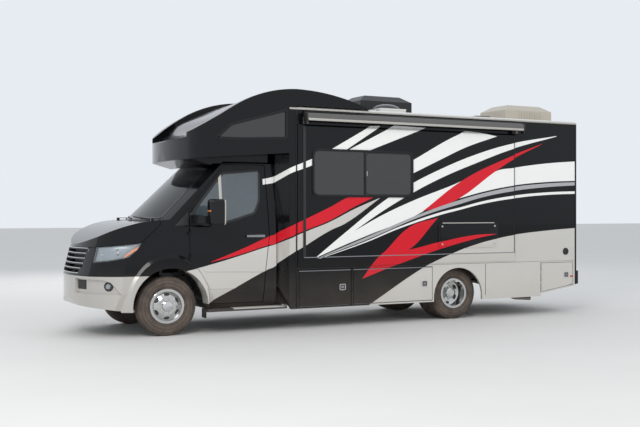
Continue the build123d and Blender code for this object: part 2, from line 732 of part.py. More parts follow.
# The roof vent stands left of the middle: its opening, the rim round it and the frame's height
vent_front = 3160
vent_rear = vent_front + 356
vent_right = -900
vent_left = vent_right + 356
vent_rim = 30
vent_frame_height = 40
lid_thickness = 24
lid_bottom = roof_height + vent_frame_height + fit_clearance
vent_pin_station = vent_front - vent_rim - 14
vent_pin_height = lid_bottom + lid_thickness / 2
with BuildPart() as roof:
    front_panel([(-coach_half_width, wall_top), (-coach_half_width, wall_top + 26), (-1100, roof_height),
                 (1100, roof_height), (coach_half_width, wall_top + 26), (coach_half_width, wall_top)],
                coach_front, coach_rear)
    block(vent_front - vent_rim, vent_rear + vent_rim, vent_right - vent_rim, vent_left + vent_rim,
          roof_height, roof_height + vent_frame_height)
    block(vent_front, vent_rear, vent_right, vent_left, wall_top - 10, roof_height + 100, Mode.SUBTRACT)
    for y in (vent_right + 60, vent_left - 60):
        foot = y + hinge_length + fit_clearance
        with Locations(Location((front_axle_x + vent_pin_station, foot, vent_pin_height), (90, 0, 0))):
            Cylinder(hinge_radius, hinge_length)
        block(vent_pin_station - 4, vent_pin_station + 4, foot - hinge_length / 2, foot + hinge_length / 2,
              roof_height, vent_pin_height)
finish(roof, "roof")

# Front cap: the bunk over the cab, the fairing behind it and the corner legs beside the cab
cap_window = [(601, 2572), (785, 2742), (1553, 2960), (1553, 2601), (902, 2570)]
leg_front = cab_rear + 3
leg_inner = 800


def cap_form(inset):
    """The overcab bunk's outside, or its inside when taken in by the wall."""
    with BuildPart() as form:
        with BuildSketch(side_view()):
            with BuildLine():
                face = Polyline((205, 2290), (196, 2550), (275, 2629))
                slope = ThreePointArc(face @ 1, (552, 2821), (836, 3003))
                crown = ThreePointArc(slope @ 1, (1257, 3192), (1713, 3263))
                fairing = ThreePointArc(crown @ 1, (2300, 3200), (2835, roof_height))
                Polyline(fairing @ 1, (2835, 2394), (1611, 2394), face @ 0)
            make_face()
            if inset:
                offset(amount=-inset, kind=Kind.INTERSECTION)
        extrude(amount=1300, both=True)
        with BuildSketch(plan_view(2100)):
            with BuildLine():
                left_corner = ThreePointArc((640, -coach_half_width), (432, -1023), (310, -800))
                front = ThreePointArc(left_corner @ 1, (200, 0), (310, 800))
                right_corner = ThreePointArc(front @ 1, (432, 1023), (640, coach_half_width))
                Polyline(right_corner @ 1, (3100, coach_half_width), (3100, -coach_half_width),
                         left_corner @ 0)
            make_face()
            if inset:
                offset(amount=-inset)
        extrude(amount=1400, mode=Mode.INTERSECT)
    return form.part


recess_line = [(100, 2555), (300, 2590), (505, 2695), (687, 2851), (915, 2982), (1200, 3108), (1650, 3259)]
recess_plan = [(0, 700), (330, 790), (520, 950), (720, 1050), (1700, 1050)]


def cap_recess(margin):
    """The panel let into the cap's sloping top between its side rims, open at the front."""
    drop = 1.25 * margin
    near = [(x, -y - margin) for x, y in recess_plan]
    far = [(x, y + margin) for x, y in reversed(recess_plan)]
    with BuildPart() as cutter:
        with BuildSketch(side_view()) as profile:
            with BuildLine():
                low = Spline(*[(x, z - drop) for x, z in recess_line])
                Polyline(low @ 1, (1650, 3600), (100, 3600), low @ 0)
            make_face()
        extrude(profile.sketch, amount=1300, both=True)
        with BuildSketch(plan_view(2000)) as plan:
            with BuildLine():
                Polyline(*near, *far, close=True)
            make_face()
        extrude(plan.sketch, amount=1700, mode=Mode.INTERSECT)
    return cutter.part


with BuildPart() as bunk_room:
    add(cap_form(wall_thickness))
    add(cap_recess(wall_thickness), mode=Mode.SUBTRACT)

# The valance closes the space between the cap's lip, the windscreen's top and the cab's roof
valance_half_width = 860
valance_outline = [(330, 2311), (330, 2299), (600, 2222), (650, 2245), (1455, 2245), (1455, 2394)]
with BuildPart() as valance:
    side_panel(valance_outline, -valance_half_width, valance_half_width, sides=(-1,))
    add(cab_upper(-4), mode=Mode.SUBTRACT)

with BuildPart() as front_cap:
    add(cap_form(0))
    add(cap_recess(0), mode=Mode.SUBTRACT)
    add(bunk_room.part, mode=Mode.SUBTRACT)
    add(valance.part)
    block(coach_front, 2900, -1300, 1300, 2000, roof_height, Mode.SUBTRACT)
    block(coach_front - 300, 2900, -wall_inner, wall_inner, 2000, roof_height, Mode.SUBTRACT)
    side_panel(cap_window, 1000, 1300, radius=24, mode=Mode.SUBTRACT)
    for side in (-1, 1):
        with BuildSketch(plan_view(skirt_bottom)):
            with BuildLine():
                corner = ThreePointArc((1605, side * 1148), (1618, side * 1164), (1640, side * coach_half_width))
                Polyline(corner @ 1, (coach_front, side * coach_half_width), (coach_front, side * wall_inner),
                         (1637, side * wall_inner), (1517, side * 932), (1517, side * leg_inner),
                         (leg_front, side * leg_inner), (leg_front, side * 950), corner @ 0)
            make_face()
        extrude(amount=2394 - skirt_bottom)
    side_panel([(1400, 100), (1400, 660), (leg_front, 660), (1630, skirt_bottom), (1630, 100)],
               700, 1300, mode=Mode.SUBTRACT)
    block(1400, coach_front, -floor_tongue, floor_tongue, floor_bottom, floor_top, Mode.SUBTRACT)
finish(front_cap, "front_cap")

# Skirts with their baggage doors and underfloor lockers. Each row: name, side, front, rear, bottom at
# the front, bottom at the rear.
baggage_doors = (
    ("front", -1, 1745, 2537, 305, 305),
    ("middle", -1, 2567, 3860, 305, 305),
    ("rear", -1, 5842, 6470, 350, 445),
    ("right", 1, 1745, 2850, 305, 305))
door_top = 806
door_sill_gap = 12
step_opening = (2960, 3620, 600)


def door_shape(front, rear, low_front, low_rear):
    """A baggage door's side outline."""
    return [(front, low_front), (rear, low_rear), (rear, door_top), (front, door_top)]


with BuildPart() as skirts:
    skirt_outline = [(coach_front, skirt_bottom), (5827, skirt_bottom), (5837, 329), (coach_rear - 40, 425),
                     (coach_rear - 40, skirt_top), (coach_front, skirt_top)]
    side_panel(skirt_outline, wall_inner, coach_half_width)
    cross_cylinder(wheelbase - 11, tyre_radius - 38, 424, 1000, 1300, mode=Mode.SUBTRACT)
    pair_of_blocks(wheelbase - 435, wheelbase + 413, 1000, 1300, 200, 346, Mode.SUBTRACT)
    for name, side, front, rear, low_front, low_rear in baggage_doors:
        side_panel(door_shape(front, rear, low_front, low_rear), 1000, 1300, sides=(side,), mode=Mode.SUBTRACT)
        knuckles(side, front, coach_half_width, (480, 640), moving=False, reach=18)
    block(step_opening[0], step_opening[1], 1000, 1300, 200, step_opening[2], Mode.SUBTRACT)
finish(skirts, "skirts")

for name, side, front, rear, low_front, low_rear in baggage_doors:
    with BuildPart() as baggage_door:
        shape = door_shape(front + panel_gap, rear - latch_gap, low_front + door_sill_gap,
                           low_rear + door_sill_gap)
        shape[2] = (shape[2][0], door_top - panel_gap)
        shape[3] = (shape[3][0], door_top - panel_gap)
        side_panel(shape, wall_inner, coach_half_width, sides=(side,))
        knuckles(side, front, coach_half_width, (480, 640), moving=True, reach=22)
    finish(baggage_door, f"baggage_door_{name}")

locker_wall = 12
locker_inner = 640
step_front = 3000
step_rear = 3560
step_height = 500
step_inner = 840
step_outer = 1120
with BuildPart() as lockers:
    for name, side, front, rear, low_front, low_rear in baggage_doors:
        low = max(low_front, low_rear) - 5
        outer = wall_inner
        edges = sorted((side * locker_inner, side * outer))
        block(front - 5, rear + 5, edges[0], edges[1], low, floor_bottom)
        edges = sorted((side * (locker_inner + locker_wall), side * (outer + 10)))
        block(front - 5 + locker_wall, rear + 5 - locker_wall, edges[0], edges[1],
              low + locker_wall, floor_bottom - locker_wall, Mode.SUBTRACT)
    # The entry step's frame hangs from the floor, with a ledge under each end of the tread
    for station, direction in ((step_front - 5, 1), (step_rear + 5, -1)):
        cheek = sorted((station - direction * 12, station))
        ledge = sorted((station - direction * 12, station + direction * 15))
        block(*cheek, step_inner - 40, step_outer - 5, step_height - 15, floor_bottom)
        block(*ledge, step_inner - 40, step_outer - 5, step_height - 15, step_height - fit_clearance)
finish(lockers, "lockers")

# Fixed windows: right wall, rear wall and the pair in the front cap
with BuildPart() as coach_windows:
    for window in right_windows:
        side_panel(rectangle(window), wall_inner + 8, coach_half_width - 8, sides=(1,), radius=60)
    front_panel(rear_window, coach_rear - wall_thickness + 8, coach_rear - 8)
    side_panel(cap_window, wall_inner + 8, coach_half_width - 8, radius=24)
finish(coach_windows, "coach_windows")

with BuildPart() as tail_lamps:
    pair_of_blocks(coach_rear, coach_rear + 22, 980, 1110, 900, 1180)
    pair_of_blocks(coach_rear, coach_rear + 16, 1000, 1090, 2830, 2880)
finish(tail_lamps, "tail_lamps")

with BuildPart() as rear_bumper:
    block(coach_rear, wheelbase + rear_overhang, -1130, 1130, 450, 660)
    fillet(rear_bumper.edges().filter_by(Axis.Z).group_by(Axis.X)[-1], 60)
finish(rear_bumper, "rear_bumper")

# Air conditioners on the roof. Each row: name, front, rear, left edge, right edge, height.
air_conditioners = (
    ("front", 3100, 3980, -350, 350, 320),
    ("rear", 5550, 6460, -620, 100, 280))
for name, front, rear, left, right, height in air_conditioners:
    with BuildPart() as air_conditioner:
        block(front, rear, left, right, roof_height, roof_height + height)
        chamfer(air_conditioner.edges().group_by(Axis.Z)[-1], 90, 140)
    finish(air_conditioner, f"{name}_air_conditioner")

# The vent's lid is hinged on its front edge, on pins that stand on the roof
with BuildPart() as vent_lid:
    block(vent_front - vent_rim - 4, vent_rear + vent_rim + 4, vent_right - vent_rim - 4,
          vent_left + vent_rim + 4, lid_bottom, lid_bottom + lid_thickness)
    for y in (vent_right + 60, vent_left - 60):
        with Locations(Location((front_axle_x + vent_pin_station, y, vent_pin_height), (90, 0, 0))):
            Cylinder(hinge_radius, hinge_length)
        block(vent_pin_station, vent_front - vent_rim, y - hinge_length / 2, y + hinge_length / 2,
              vent_pin_height - 4, vent_pin_height + 4)
finish(vent_lid, "vent_lid")

with BuildPart() as patio_awning:
    side_panel([(2300, 2850), (5900, 2850), (5900, 2960), (2300, 2960)], coach_half_width, 1285, sides=(1,))
    fillet(patio_awning.edges().filter_by(Axis.X).group_by(Axis.Y)[-1], 40)
    for station in (2310, 5840):
        block(station, station + 50, coach_half_width, 1200, 1250, 2850)
finish(patio_awning, "patio_awning")

# Slide-out room: fascia with a raised and bevelled panel, and the box that runs through the wall
fascia_back = coach_half_width + fit_clearance
slide_window_outline = rectangle((1936, 3486, 1824, 2445))
with BuildPart() as slide_room:
    side_panel(rectangle((slide_front, slide_rear, slide_bottom, slide_top)), fascia_back, fascia_back + 15,
               sides=(-1,))
    with BuildSketch(side_view(fascia_back + 15)):
        with BuildLine():
            Polyline(*rectangle((slide_front, slide_rear, slide_bottom, slide_top)), close=True)
        make_face()
    with BuildSketch(side_view(fascia_back + fascia_thickness)):
        with BuildLine():
            Polyline(*rectangle((slide_front + 110, slide_rear - 30, slide_bottom + 120, slide_top - 25)),
                     close=True)
        make_face()
    loft()
    side_panel(rectangle(slide_box), fascia_back - slide_depth, fascia_back, sides=(-1,))
    side_panel(rectangle(slide_box, slide_wall), fascia_back - slide_depth - 10, fascia_back, sides=(-1,),
               mode=Mode.SUBTRACT)
    side_panel(slide_window_outline, 1000, 1300, sides=(-1,), radius=80, mode=Mode.SUBTRACT)
finish(slide_room, "slide_room")

with BuildPart() as slide_window:
    side_panel(slide_window_outline, fascia_back + 6, fascia_back + fascia_thickness + 4, sides=(-1,), radius=80)
finish(slide_window, "slide_window")

roller_radius = 50
roller_y = 1262
roller_height = 2886
with BuildPart() as slide_topper:
    with Locations(Location((front_axle_x + (1800 + 5420) / 2, -roller_y, roller_height), (0, 90, 0))):
        Cylinder(roller_radius, 5420 - 1800)
    for station in (1800, 5280):
        block(station, station + 30, -roller_y - 20, -fascia_back, slide_top, roller_height)
finish(slide_topper, "slide_topper")

# Entry door on the right, its window, and the step that slides out below it
with BuildPart() as entry_door:
    front, rear, bottom, top = entry_opening
    shape = rectangle((front + panel_gap, rear - latch_gap, bottom + panel_gap, top - panel_gap))
    side_panel(shape, wall_inner, coach_half_width, sides=(1,))
    side_panel(rectangle((3120, 3450, 1800, 2450)), 1000, 1300, sides=(1,), radius=50, mode=Mode.SUBTRACT)
    knuckles(1, front, coach_half_width, (1000, 1700, 2450), moving=True)
finish(entry_door, "entry_door")

with BuildPart() as entry_door_window:
    side_panel(rectangle((3120, 3450, 1800, 2450)), wall_inner + 8, coach_half_width - 8, sides=(1,), radius=50)
finish(entry_door_window, "entry_door_window")

with BuildPart() as entry_step:
    block(step_front, step_rear, step_inner, step_outer, step_height, step_height + 30)
finish(entry_step, "entry_step")
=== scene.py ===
"""Looks of a motorhome: finishes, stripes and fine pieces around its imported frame.

Lengths are metres in the frame's own axes: the front at -X, the driver's left side at -Y, Z up.
"""

import logging
import math
from dataclasses import dataclass, field
from enum import Enum
from typing import Callable, Iterable, Sequence

import bmesh
import bpy
from mathutils import Matrix, Vector


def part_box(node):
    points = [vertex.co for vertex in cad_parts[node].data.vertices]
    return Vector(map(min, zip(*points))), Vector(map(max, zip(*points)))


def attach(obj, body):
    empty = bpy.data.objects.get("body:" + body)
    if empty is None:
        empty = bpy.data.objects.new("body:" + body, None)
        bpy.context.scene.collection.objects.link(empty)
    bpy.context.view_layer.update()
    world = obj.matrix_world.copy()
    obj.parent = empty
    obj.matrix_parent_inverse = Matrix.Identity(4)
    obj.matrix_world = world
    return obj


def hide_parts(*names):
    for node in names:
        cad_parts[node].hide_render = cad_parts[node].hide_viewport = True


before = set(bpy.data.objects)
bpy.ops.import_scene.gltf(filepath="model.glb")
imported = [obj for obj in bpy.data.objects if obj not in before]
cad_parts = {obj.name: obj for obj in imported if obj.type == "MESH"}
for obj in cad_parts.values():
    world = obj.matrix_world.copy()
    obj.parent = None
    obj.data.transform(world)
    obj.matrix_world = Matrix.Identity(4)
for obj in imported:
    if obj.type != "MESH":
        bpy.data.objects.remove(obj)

LOG = logging.getLogger("motorhome")

Point = tuple[float, float]
Point3 = tuple[float, float, float]
Colour = tuple[float, float, float]
Piece = bpy.types.Object

FRONT_AXLE = -2.795
WHEELBASE = 4.318
AXLE_HEIGHT = 0.384
COACH_SKIN = 1.17
SIDES = (("left", -1), ("right", 1))
LINE_CEILING = 4.0
FULL_TURN = 2 * math.pi
TOUCH = 1e-6
BEVEL = {"segments": 2, "profile": 0.5, "material": -1, "affect": "EDGES"}


def station(distance: float) -> float:
    """The frame's X of a place.

    Args:
        distance: metres behind the front axle.

    Returns:
        The place's X in the frame.
    """
    return FRONT_AXLE + distance


# Shader maths


class Term:
    """A shader socket that can stand in a formula."""

    def __init__(self, graph: "Graph", socket: bpy.types.NodeSocket) -> None:
        """Hold a socket of a graph."""
        self.graph = graph
        self.socket = socket

    def __add__(self, other: "Term | float") -> "Term":
        """This plus another."""
        return self.graph.math("ADD", self, other)

    def __radd__(self, other: float) -> "Term":
        """Another plus this."""
        return self.graph.math("ADD", other, self)

    def __sub__(self, other: "Term | float") -> "Term":
        """This less another."""
        return self.graph.math("SUBTRACT", self, other)

    def __rsub__(self, other: float) -> "Term":
        """Another less this."""
        return self.graph.math("SUBTRACT", other, self)

    def __mul__(self, other: "Term | float") -> "Term":
        """This times another."""
        return self.graph.math("MULTIPLY", self, other)

    def __rmul__(self, other: float) -> "Term":
        """Another times this."""
        return self.graph.math("MULTIPLY", other, self)

    def __truediv__(self, other: "Term | float") -> "Term":
        """This over another."""
        return self.graph.math("DIVIDE", self, other)

    def __rtruediv__(self, other: float) -> "Term":
        """Another over this."""
        return self.graph.math("DIVIDE", other, self)

    def __abs__(self) -> "Term":
        """The size without its sign."""
        return self.graph.math("ABSOLUTE", self)

    def __gt__(self, other: "Term | float") -> "Term":
        """1 where this is the greater, else 0."""
        return self.graph.math("GREATER_THAN", self, other)

    def __lt__(self, other: "Term | float") -> "Term":
        """1 where this is the smaller, else 0."""
        return self.graph.math("LESS_THAN", self, other)

    def __and__(self, other: "Term | float") -> "Term":
        """The smaller of two: where both masks are."""
        return self.graph.math("MINIMUM", self, other)

    def __or__(self, other: "Term | float") -> "Term":
        """The greater of two: where either mask is."""
        return self.graph.math("MAXIMUM", self, other)

    def __invert__(self) -> "Term":
        """The mask turned round."""
        return self.graph.math("SUBTRACT", 1.0, self)


class Graph:
    """The node tree of a material or of the world."""

    def __init__(self, owner: "bpy.types.Material | bpy.types.World") -> None:
        """Open a node tree.

        Args:
            owner: the material or the world that it belongs to.
        """
        owner.use_nodes = True
        self.owner = owner
        self.tree = owner.node_tree
        self.places: dict[str, bpy.types.Node] = {}

    def node(self, kind: str, inputs: dict | None = None, **settings: object) -> bpy.types.Node:
        """Add a node.

        Args:
            kind: the node's type without its Shader prefix.
            inputs: values or terms for its sockets, by name or number.
            settings: properties of the node.

        Returns:
            The new node.
        """
        made = self.tree.nodes.new("ShaderNode" + kind)
        for key, value in settings.items():
            setattr(made, key, value)
        for key, value in (inputs or {}).items():
            self.feed(made.inputs[key], value)
        return made

    def feed(self, socket: bpy.types.NodeSocket, value: object) -> None:
        """Set a socket to a value or link it to a term.

        Args:
            socket: the socket to feed.
            value: a term, a number, a colour or a vector.
        """
        if isinstance(value, Term):
            self.tree.links.new(value.socket, socket)
        elif isinstance(value, tuple) and len(value) == 3 and socket.type == "RGBA":
            socket.default_value = (*value, 1.0)
        else:
            socket.default_value = value

    def term(self, kind: str, output: str | int, inputs: dict | None = None, **settings: object) -> Term:
        """Add a node and take one of its outputs."""
        return Term(self, self.node(kind, inputs, **settings).outputs[output])

    def math(self, operation: str, *terms: "Term | float", clamp: bool = False) -> Term:
        """One step of arithmetic."""
        return self.term("Math", 0, dict(enumerate(terms)), operation=operation, use_clamp=clamp)

    def place(self, axis: str, kind: str = "Object") -> Term:
        """One coordinate of the shaded point.

        Args:
            axis: the coordinate's letter.
            kind: the sort of coordinates, the object's own or UV.

        Returns:
            The coordinate.
        """
        if kind not in self.places:
            self.places[kind] = self.node("SeparateXYZ", {0: self.term("TexCoord", kind)})
        return Term(self, self.places[kind].outputs[axis])

    def mix(self, factor: "Term | float", low: "Term | Colour", high: "Term | Colour") -> Term:
        """Blend two colours."""
        return self.term("Mix", 2, {0: factor, 6: low, 7: high}, data_type="RGBA")

    def noise(self, scale: float, detail: float) -> Term:
        """Soft noise from 0 to 1 on the object's coordinates."""
        where = self.term("TexCoord", "Object")
        return self.term("TexNoise", 0, {"Vector": where, "Scale": scale, "Detail": detail})

    def ramp(self, value: Term, low: float, high: float) -> Term:
        """A smooth step from 0 at low to 1 at high."""
        inputs = {0: value, 1: low, 2: high, 3: 0.0, 4: 1.0}
        return self.term("MapRange", 0, inputs, interpolation_type="SMOOTHSTEP")

    def line(self, across: Term, points: Sequence[Point], straight: bool = False) -> Term:
        """A line drawn through points.

        Args:
            across: the place to look the line up at.
            points: the line's places and heights.
            straight: whether the line is straight between its points, or else smooth.

        Returns:
            The line's height at that place.
        """
        first, last = points[0][0], points[-1][0]
        made = self.node("FloatCurve", {"Value": (across - first) / (last - first)})
        curve = made.mapping.curves[0]
        spread = [((x - first) / (last - first), z / LINE_CEILING) for x, z in points]
        curve.points[0].location = spread[0]
        curve.points[1].location = spread[-1]
        for x, z in spread[1:-1]:
            curve.points.new(x, z)
        for handle in curve.points:
            handle.handle_type = "VECTOR" if straight else "AUTO_CLAMPED"
        made.mapping.update()
        return Term(self, made.outputs[0]) * LINE_CEILING

    def bump(self, height: Term, distance: float) -> Term:
        """A normal that follows a height in metres."""
        return self.term("Bump", 0, {"Height": height, "Distance": distance, "Strength": 1.0})

    def finish(self, **sockets: object) -> bpy.types.Material:
        """Feed the surface shader.

        Args:
            sockets: values or terms for the surface shader's sockets, with underscores for spaces.

        Returns:
            The finished material.
        """
        shader = self.tree.nodes["Principled BSDF"]
        for key, value in sockets.items():
            self.feed(shader.inputs[key.replace("_", " ")], value)
        return self.owner


def surface(name: str) -> Graph:
    """The node tree of a new material."""
    return Graph(bpy.data.materials.new(name))


# Finishes


class Paint(Enum):
    """Paint colours of the coachwork, linear light."""

    BLACK = (0.004, 0.004, 0.005)
    WHITE = (0.82, 0.82, 0.80)
    SILVER = (0.62, 0.60, 0.56)
    GREY = (0.42, 0.42, 0.43)
    RED = (0.62, 0.010, 0.022)


@dataclass(frozen=True)
class Stripe:
    """One stripe of the side: the space between two lines drawn along X."""

    name: str
    paint: Paint
    upper: tuple[Point, ...]
    lower: tuple[Point, ...]
    straight: bool = False

    def mask(self, graph: Graph) -> Term:
        """Where the stripe lies.

        Args:
            graph: the material's node tree.

        Returns:
            1 on the stripe and 0 off it.
        """
        x = graph.place("X")
        z = graph.place("Z")
        upper, lower = (graph.line(x, points, self.straight) for points in (self.upper, self.lower))
        inside = (z < upper) & (z > lower)
        return inside & (x > self.upper[0][0]) & (x < self.upper[-1][0])


STRIPES = (
    Stripe("lower_body", Paint.SILVER,
           ((-0.019, 0.268), (0.99, 0.828), (1.404, 0.994), (1.78, 1.111), (2.114, 1.183), (2.509, 1.246),
            (3.124, 1.304), (3.9, 1.352)),
           ((-0.019, 0.0), (3.9, 0.0))),
    Stripe("pillar_flash", Paint.WHITE,
           ((-1.473, 2.044), (-1.325, 2.074), (-1.319, 2.079), (-1.285, 2.107), (-1.233, 2.150),
            (-1.181, 2.192),
            (-1.141, 2.211), (-0.862, 2.328)),
           ((-1.473, 1.968), (-1.325, 1.991), (-1.319, 1.996), (-1.285, 2.026), (-1.233, 2.071),
            (-1.181, 2.116),
            (-1.141, 2.134), (-0.862, 2.238)), True),
    Stripe("short_flash", Paint.WHITE,
           ((-0.612, 2.446), (0.034, 2.81), (0.19, 2.815)),
           ((-0.612, 2.446), (-0.371, 2.453), (0.19, 2.81)), True),
    Stripe("upper_flash", Paint.WHITE,
           ((-0.343, 2.449), (0.42, 2.833), (0.943, 2.822)),
           ((-0.343, 2.449), (-0.025, 2.451), (0.943, 2.82)), True),
    Stripe("third_flash", Paint.WHITE,
           ((0.679, 2.326), (1.468, 2.733), (1.66, 2.80), (2.182, 2.741)),
           ((0.679, 2.139), (1.167, 2.359), (1.615, 2.555), (2.182, 2.741))),
    Stripe("long_flash", Paint.WHITE,
           ((-0.821, 0.977), (-0.372, 1.315), (0.33, 1.813), (0.695, 2.007), (1.167, 2.219), (1.78, 2.45),
            (2.457, 2.638), (3.342, 2.792)),
           ((-0.821, 0.974), (-0.372, 1.146), (-0.083, 1.25), (0.88, 1.608), (1.533, 2.051), (2.387, 2.424),
            (3.342, 2.783))),
    Stripe("long_wedge", Paint.BLACK,
           ((-0.243, 1.329), (0.211, 1.608), (0.664, 1.852), (1.167, 2.086), (1.78, 2.32), (2.491, 2.563),
            (3.342, 2.783)),
           ((-0.243, 1.329), (0.211, 1.555), (0.695, 1.754), (1.533, 2.051), (2.387, 2.424), (3.342, 2.765))),
    Stripe("rear_panel", Paint.WHITE,
           ((1.501, 1.80), (2.148, 2.208), (2.509, 2.272), (3.123, 2.353), (3.9, 2.415)),
           ((1.501, 1.799), (1.946, 1.905), (2.509, 2.003), (3.123, 2.064), (3.9, 2.10))),
    Stripe("red_sweep", Paint.RED,
           ((0.88, 1.613), (1.533, 2.051), (2.387, 2.424), (3.069, 2.661)),
           ((0.88, 1.613), (1.132, 1.662), (1.501, 1.799), (2.148, 2.208), (2.457, 2.384), (3.069, 2.658))),
    Stripe("grey_line", Paint.GREY,
           ((-0.793, 0.971), (-0.083, 1.232), (0.88, 1.586), (1.501, 1.772), (1.946, 1.882), (2.509, 1.981),
            (3.123, 2.041), (3.9, 2.08)),
           ((-0.793, 0.964), (-0.083, 1.193), (0.88, 1.543), (1.501, 1.712), (1.946, 1.824), (2.509, 1.919),
            (3.124, 1.983), (3.9, 2.03))),
    Stripe("thin_line", Paint.WHITE,
           ((-0.766, 0.965), (-0.083, 1.178), (0.511, 1.396), (1.167, 1.591), (1.501, 1.662), (1.946, 1.763),
            (2.509, 1.848), (3.124, 1.902), (3.9, 1.932)),
           ((-0.766, 0.960), (-0.083, 1.162), (0.511, 1.37), (1.167, 1.553), (1.501, 1.627), (1.946, 1.724),
            (2.509, 1.806), (3.124, 1.862), (3.9, 1.892))),
    Stripe("red_bolt_upper", Paint.RED,
           ((0.241, 1.031), (0.633, 1.369), (1.132, 1.513)),
           ((0.241, 1.031), (0.633, 1.055), (1.132, 1.513))),
    Stripe("red_bolt_lower", Paint.RED,
           ((-0.092, 0.66), (0.241, 1.031), (0.633, 1.056), (1.167, 1.161), (1.78, 1.254), (2.148, 1.267)),
           ((-0.092, 0.66), (0.481, 0.849), (1.132, 1.046), (1.78, 1.199), (2.148, 1.262))),
    Stripe("cab_sweep", Paint.SILVER,
           ((-2.62, 0.822), (-2.55, 0.836), (-2.29, 0.895), (-1.813, 1.022), (-1.436, 1.131), (-1.337, 1.155),
            (-1.285, 1.173), (-1.233, 1.205), (-1.181, 1.237), (-1.141, 1.252), (-1.08, 1.285),
            (-0.609, 1.463),
            (-0.228, 1.641), (0.166, 1.796)),
           ((-2.62, 0.20), (-2.235, 0.418), (-1.884, 0.599), (-1.45, 0.817), (-1.32, 0.870), (-1.285, 0.907),
            (-1.233, 0.962), (-1.181, 1.017), (-1.141, 1.042), (-1.08, 1.078), (-0.609, 1.342),
            (-0.372, 1.441),
            (0.166, 1.79))),
    Stripe("cab_red", Paint.RED,
           ((-2.228, 0.946), (-1.755, 1.125), (-1.406, 1.271), (-1.32, 1.298), (-1.233, 1.363),
            (-1.181, 1.401),
            (-1.141, 1.419), (-1.08, 1.45), (-0.608, 1.665), (-0.286, 1.813), (0.107, 1.823)),
           ((-2.228, 0.94), (-1.813, 1.038), (-1.436, 1.147), (-1.32, 1.170), (-1.233, 1.224),
            (-1.181, 1.258),
            (-1.141, 1.274), (-1.08, 1.306), (-0.608, 1.483), (-0.257, 1.659), (0.107, 1.82))),
)


@dataclass(frozen=True)
class Finish:
    """A plain surface: its colour and how it varies."""

    name: str
    slot: str
    colour: Colour
    roughness: float
    metallic: float = 0.0
    coat: float = 0.0
    alpha: float = 1.0
    grain: float = 900.0
    grain_depth: float = 0.0
    variation: float = 0.12
    wear: float = 0.10
    dust: float = 0.0
    shine: float = 0.5

    def make(self) -> bpy.types.Material:
        """Build the material.

        Returns:
            A material whose colour, roughness and relief vary over the surface.
        """
        graph = surface(self.name)
        broad = graph.noise(3.0, 4.0)
        shade = 1.0 - self.variation * 0.5 + broad * self.variation
        colour = graph.mix(shade, (0.0, 0.0, 0.0), self.colour)
        if self.dust:
            low = ~graph.ramp(graph.place("Z"), 0.1, 1.1)
            colour = graph.mix(low * broad * self.dust, colour, DUST)
        sockets: dict[str, object] = {
            "Base_Color": colour,
            "Roughness": graph.math("ADD", self.roughness - self.wear * 0.5, broad * self.wear, clamp=True),
            "Metallic": self.metallic,
            "Coat_Weight": self.coat,
            "Coat_Roughness": 0.04,
            "Specular_IOR_Level": self.shine,
            "Alpha": self.alpha,
        }
        if self.grain_depth:
            sockets["Normal"] = graph.bump(graph.noise(self.grain, 1.0), self.grain_depth)
        return graph.finish(**sockets)


METALLIC_PAINT = 0.35
DUST: Colour = (0.30, 0.25, 0.19)
INTERIOR: Colour = (0.50, 0.44, 0.35)


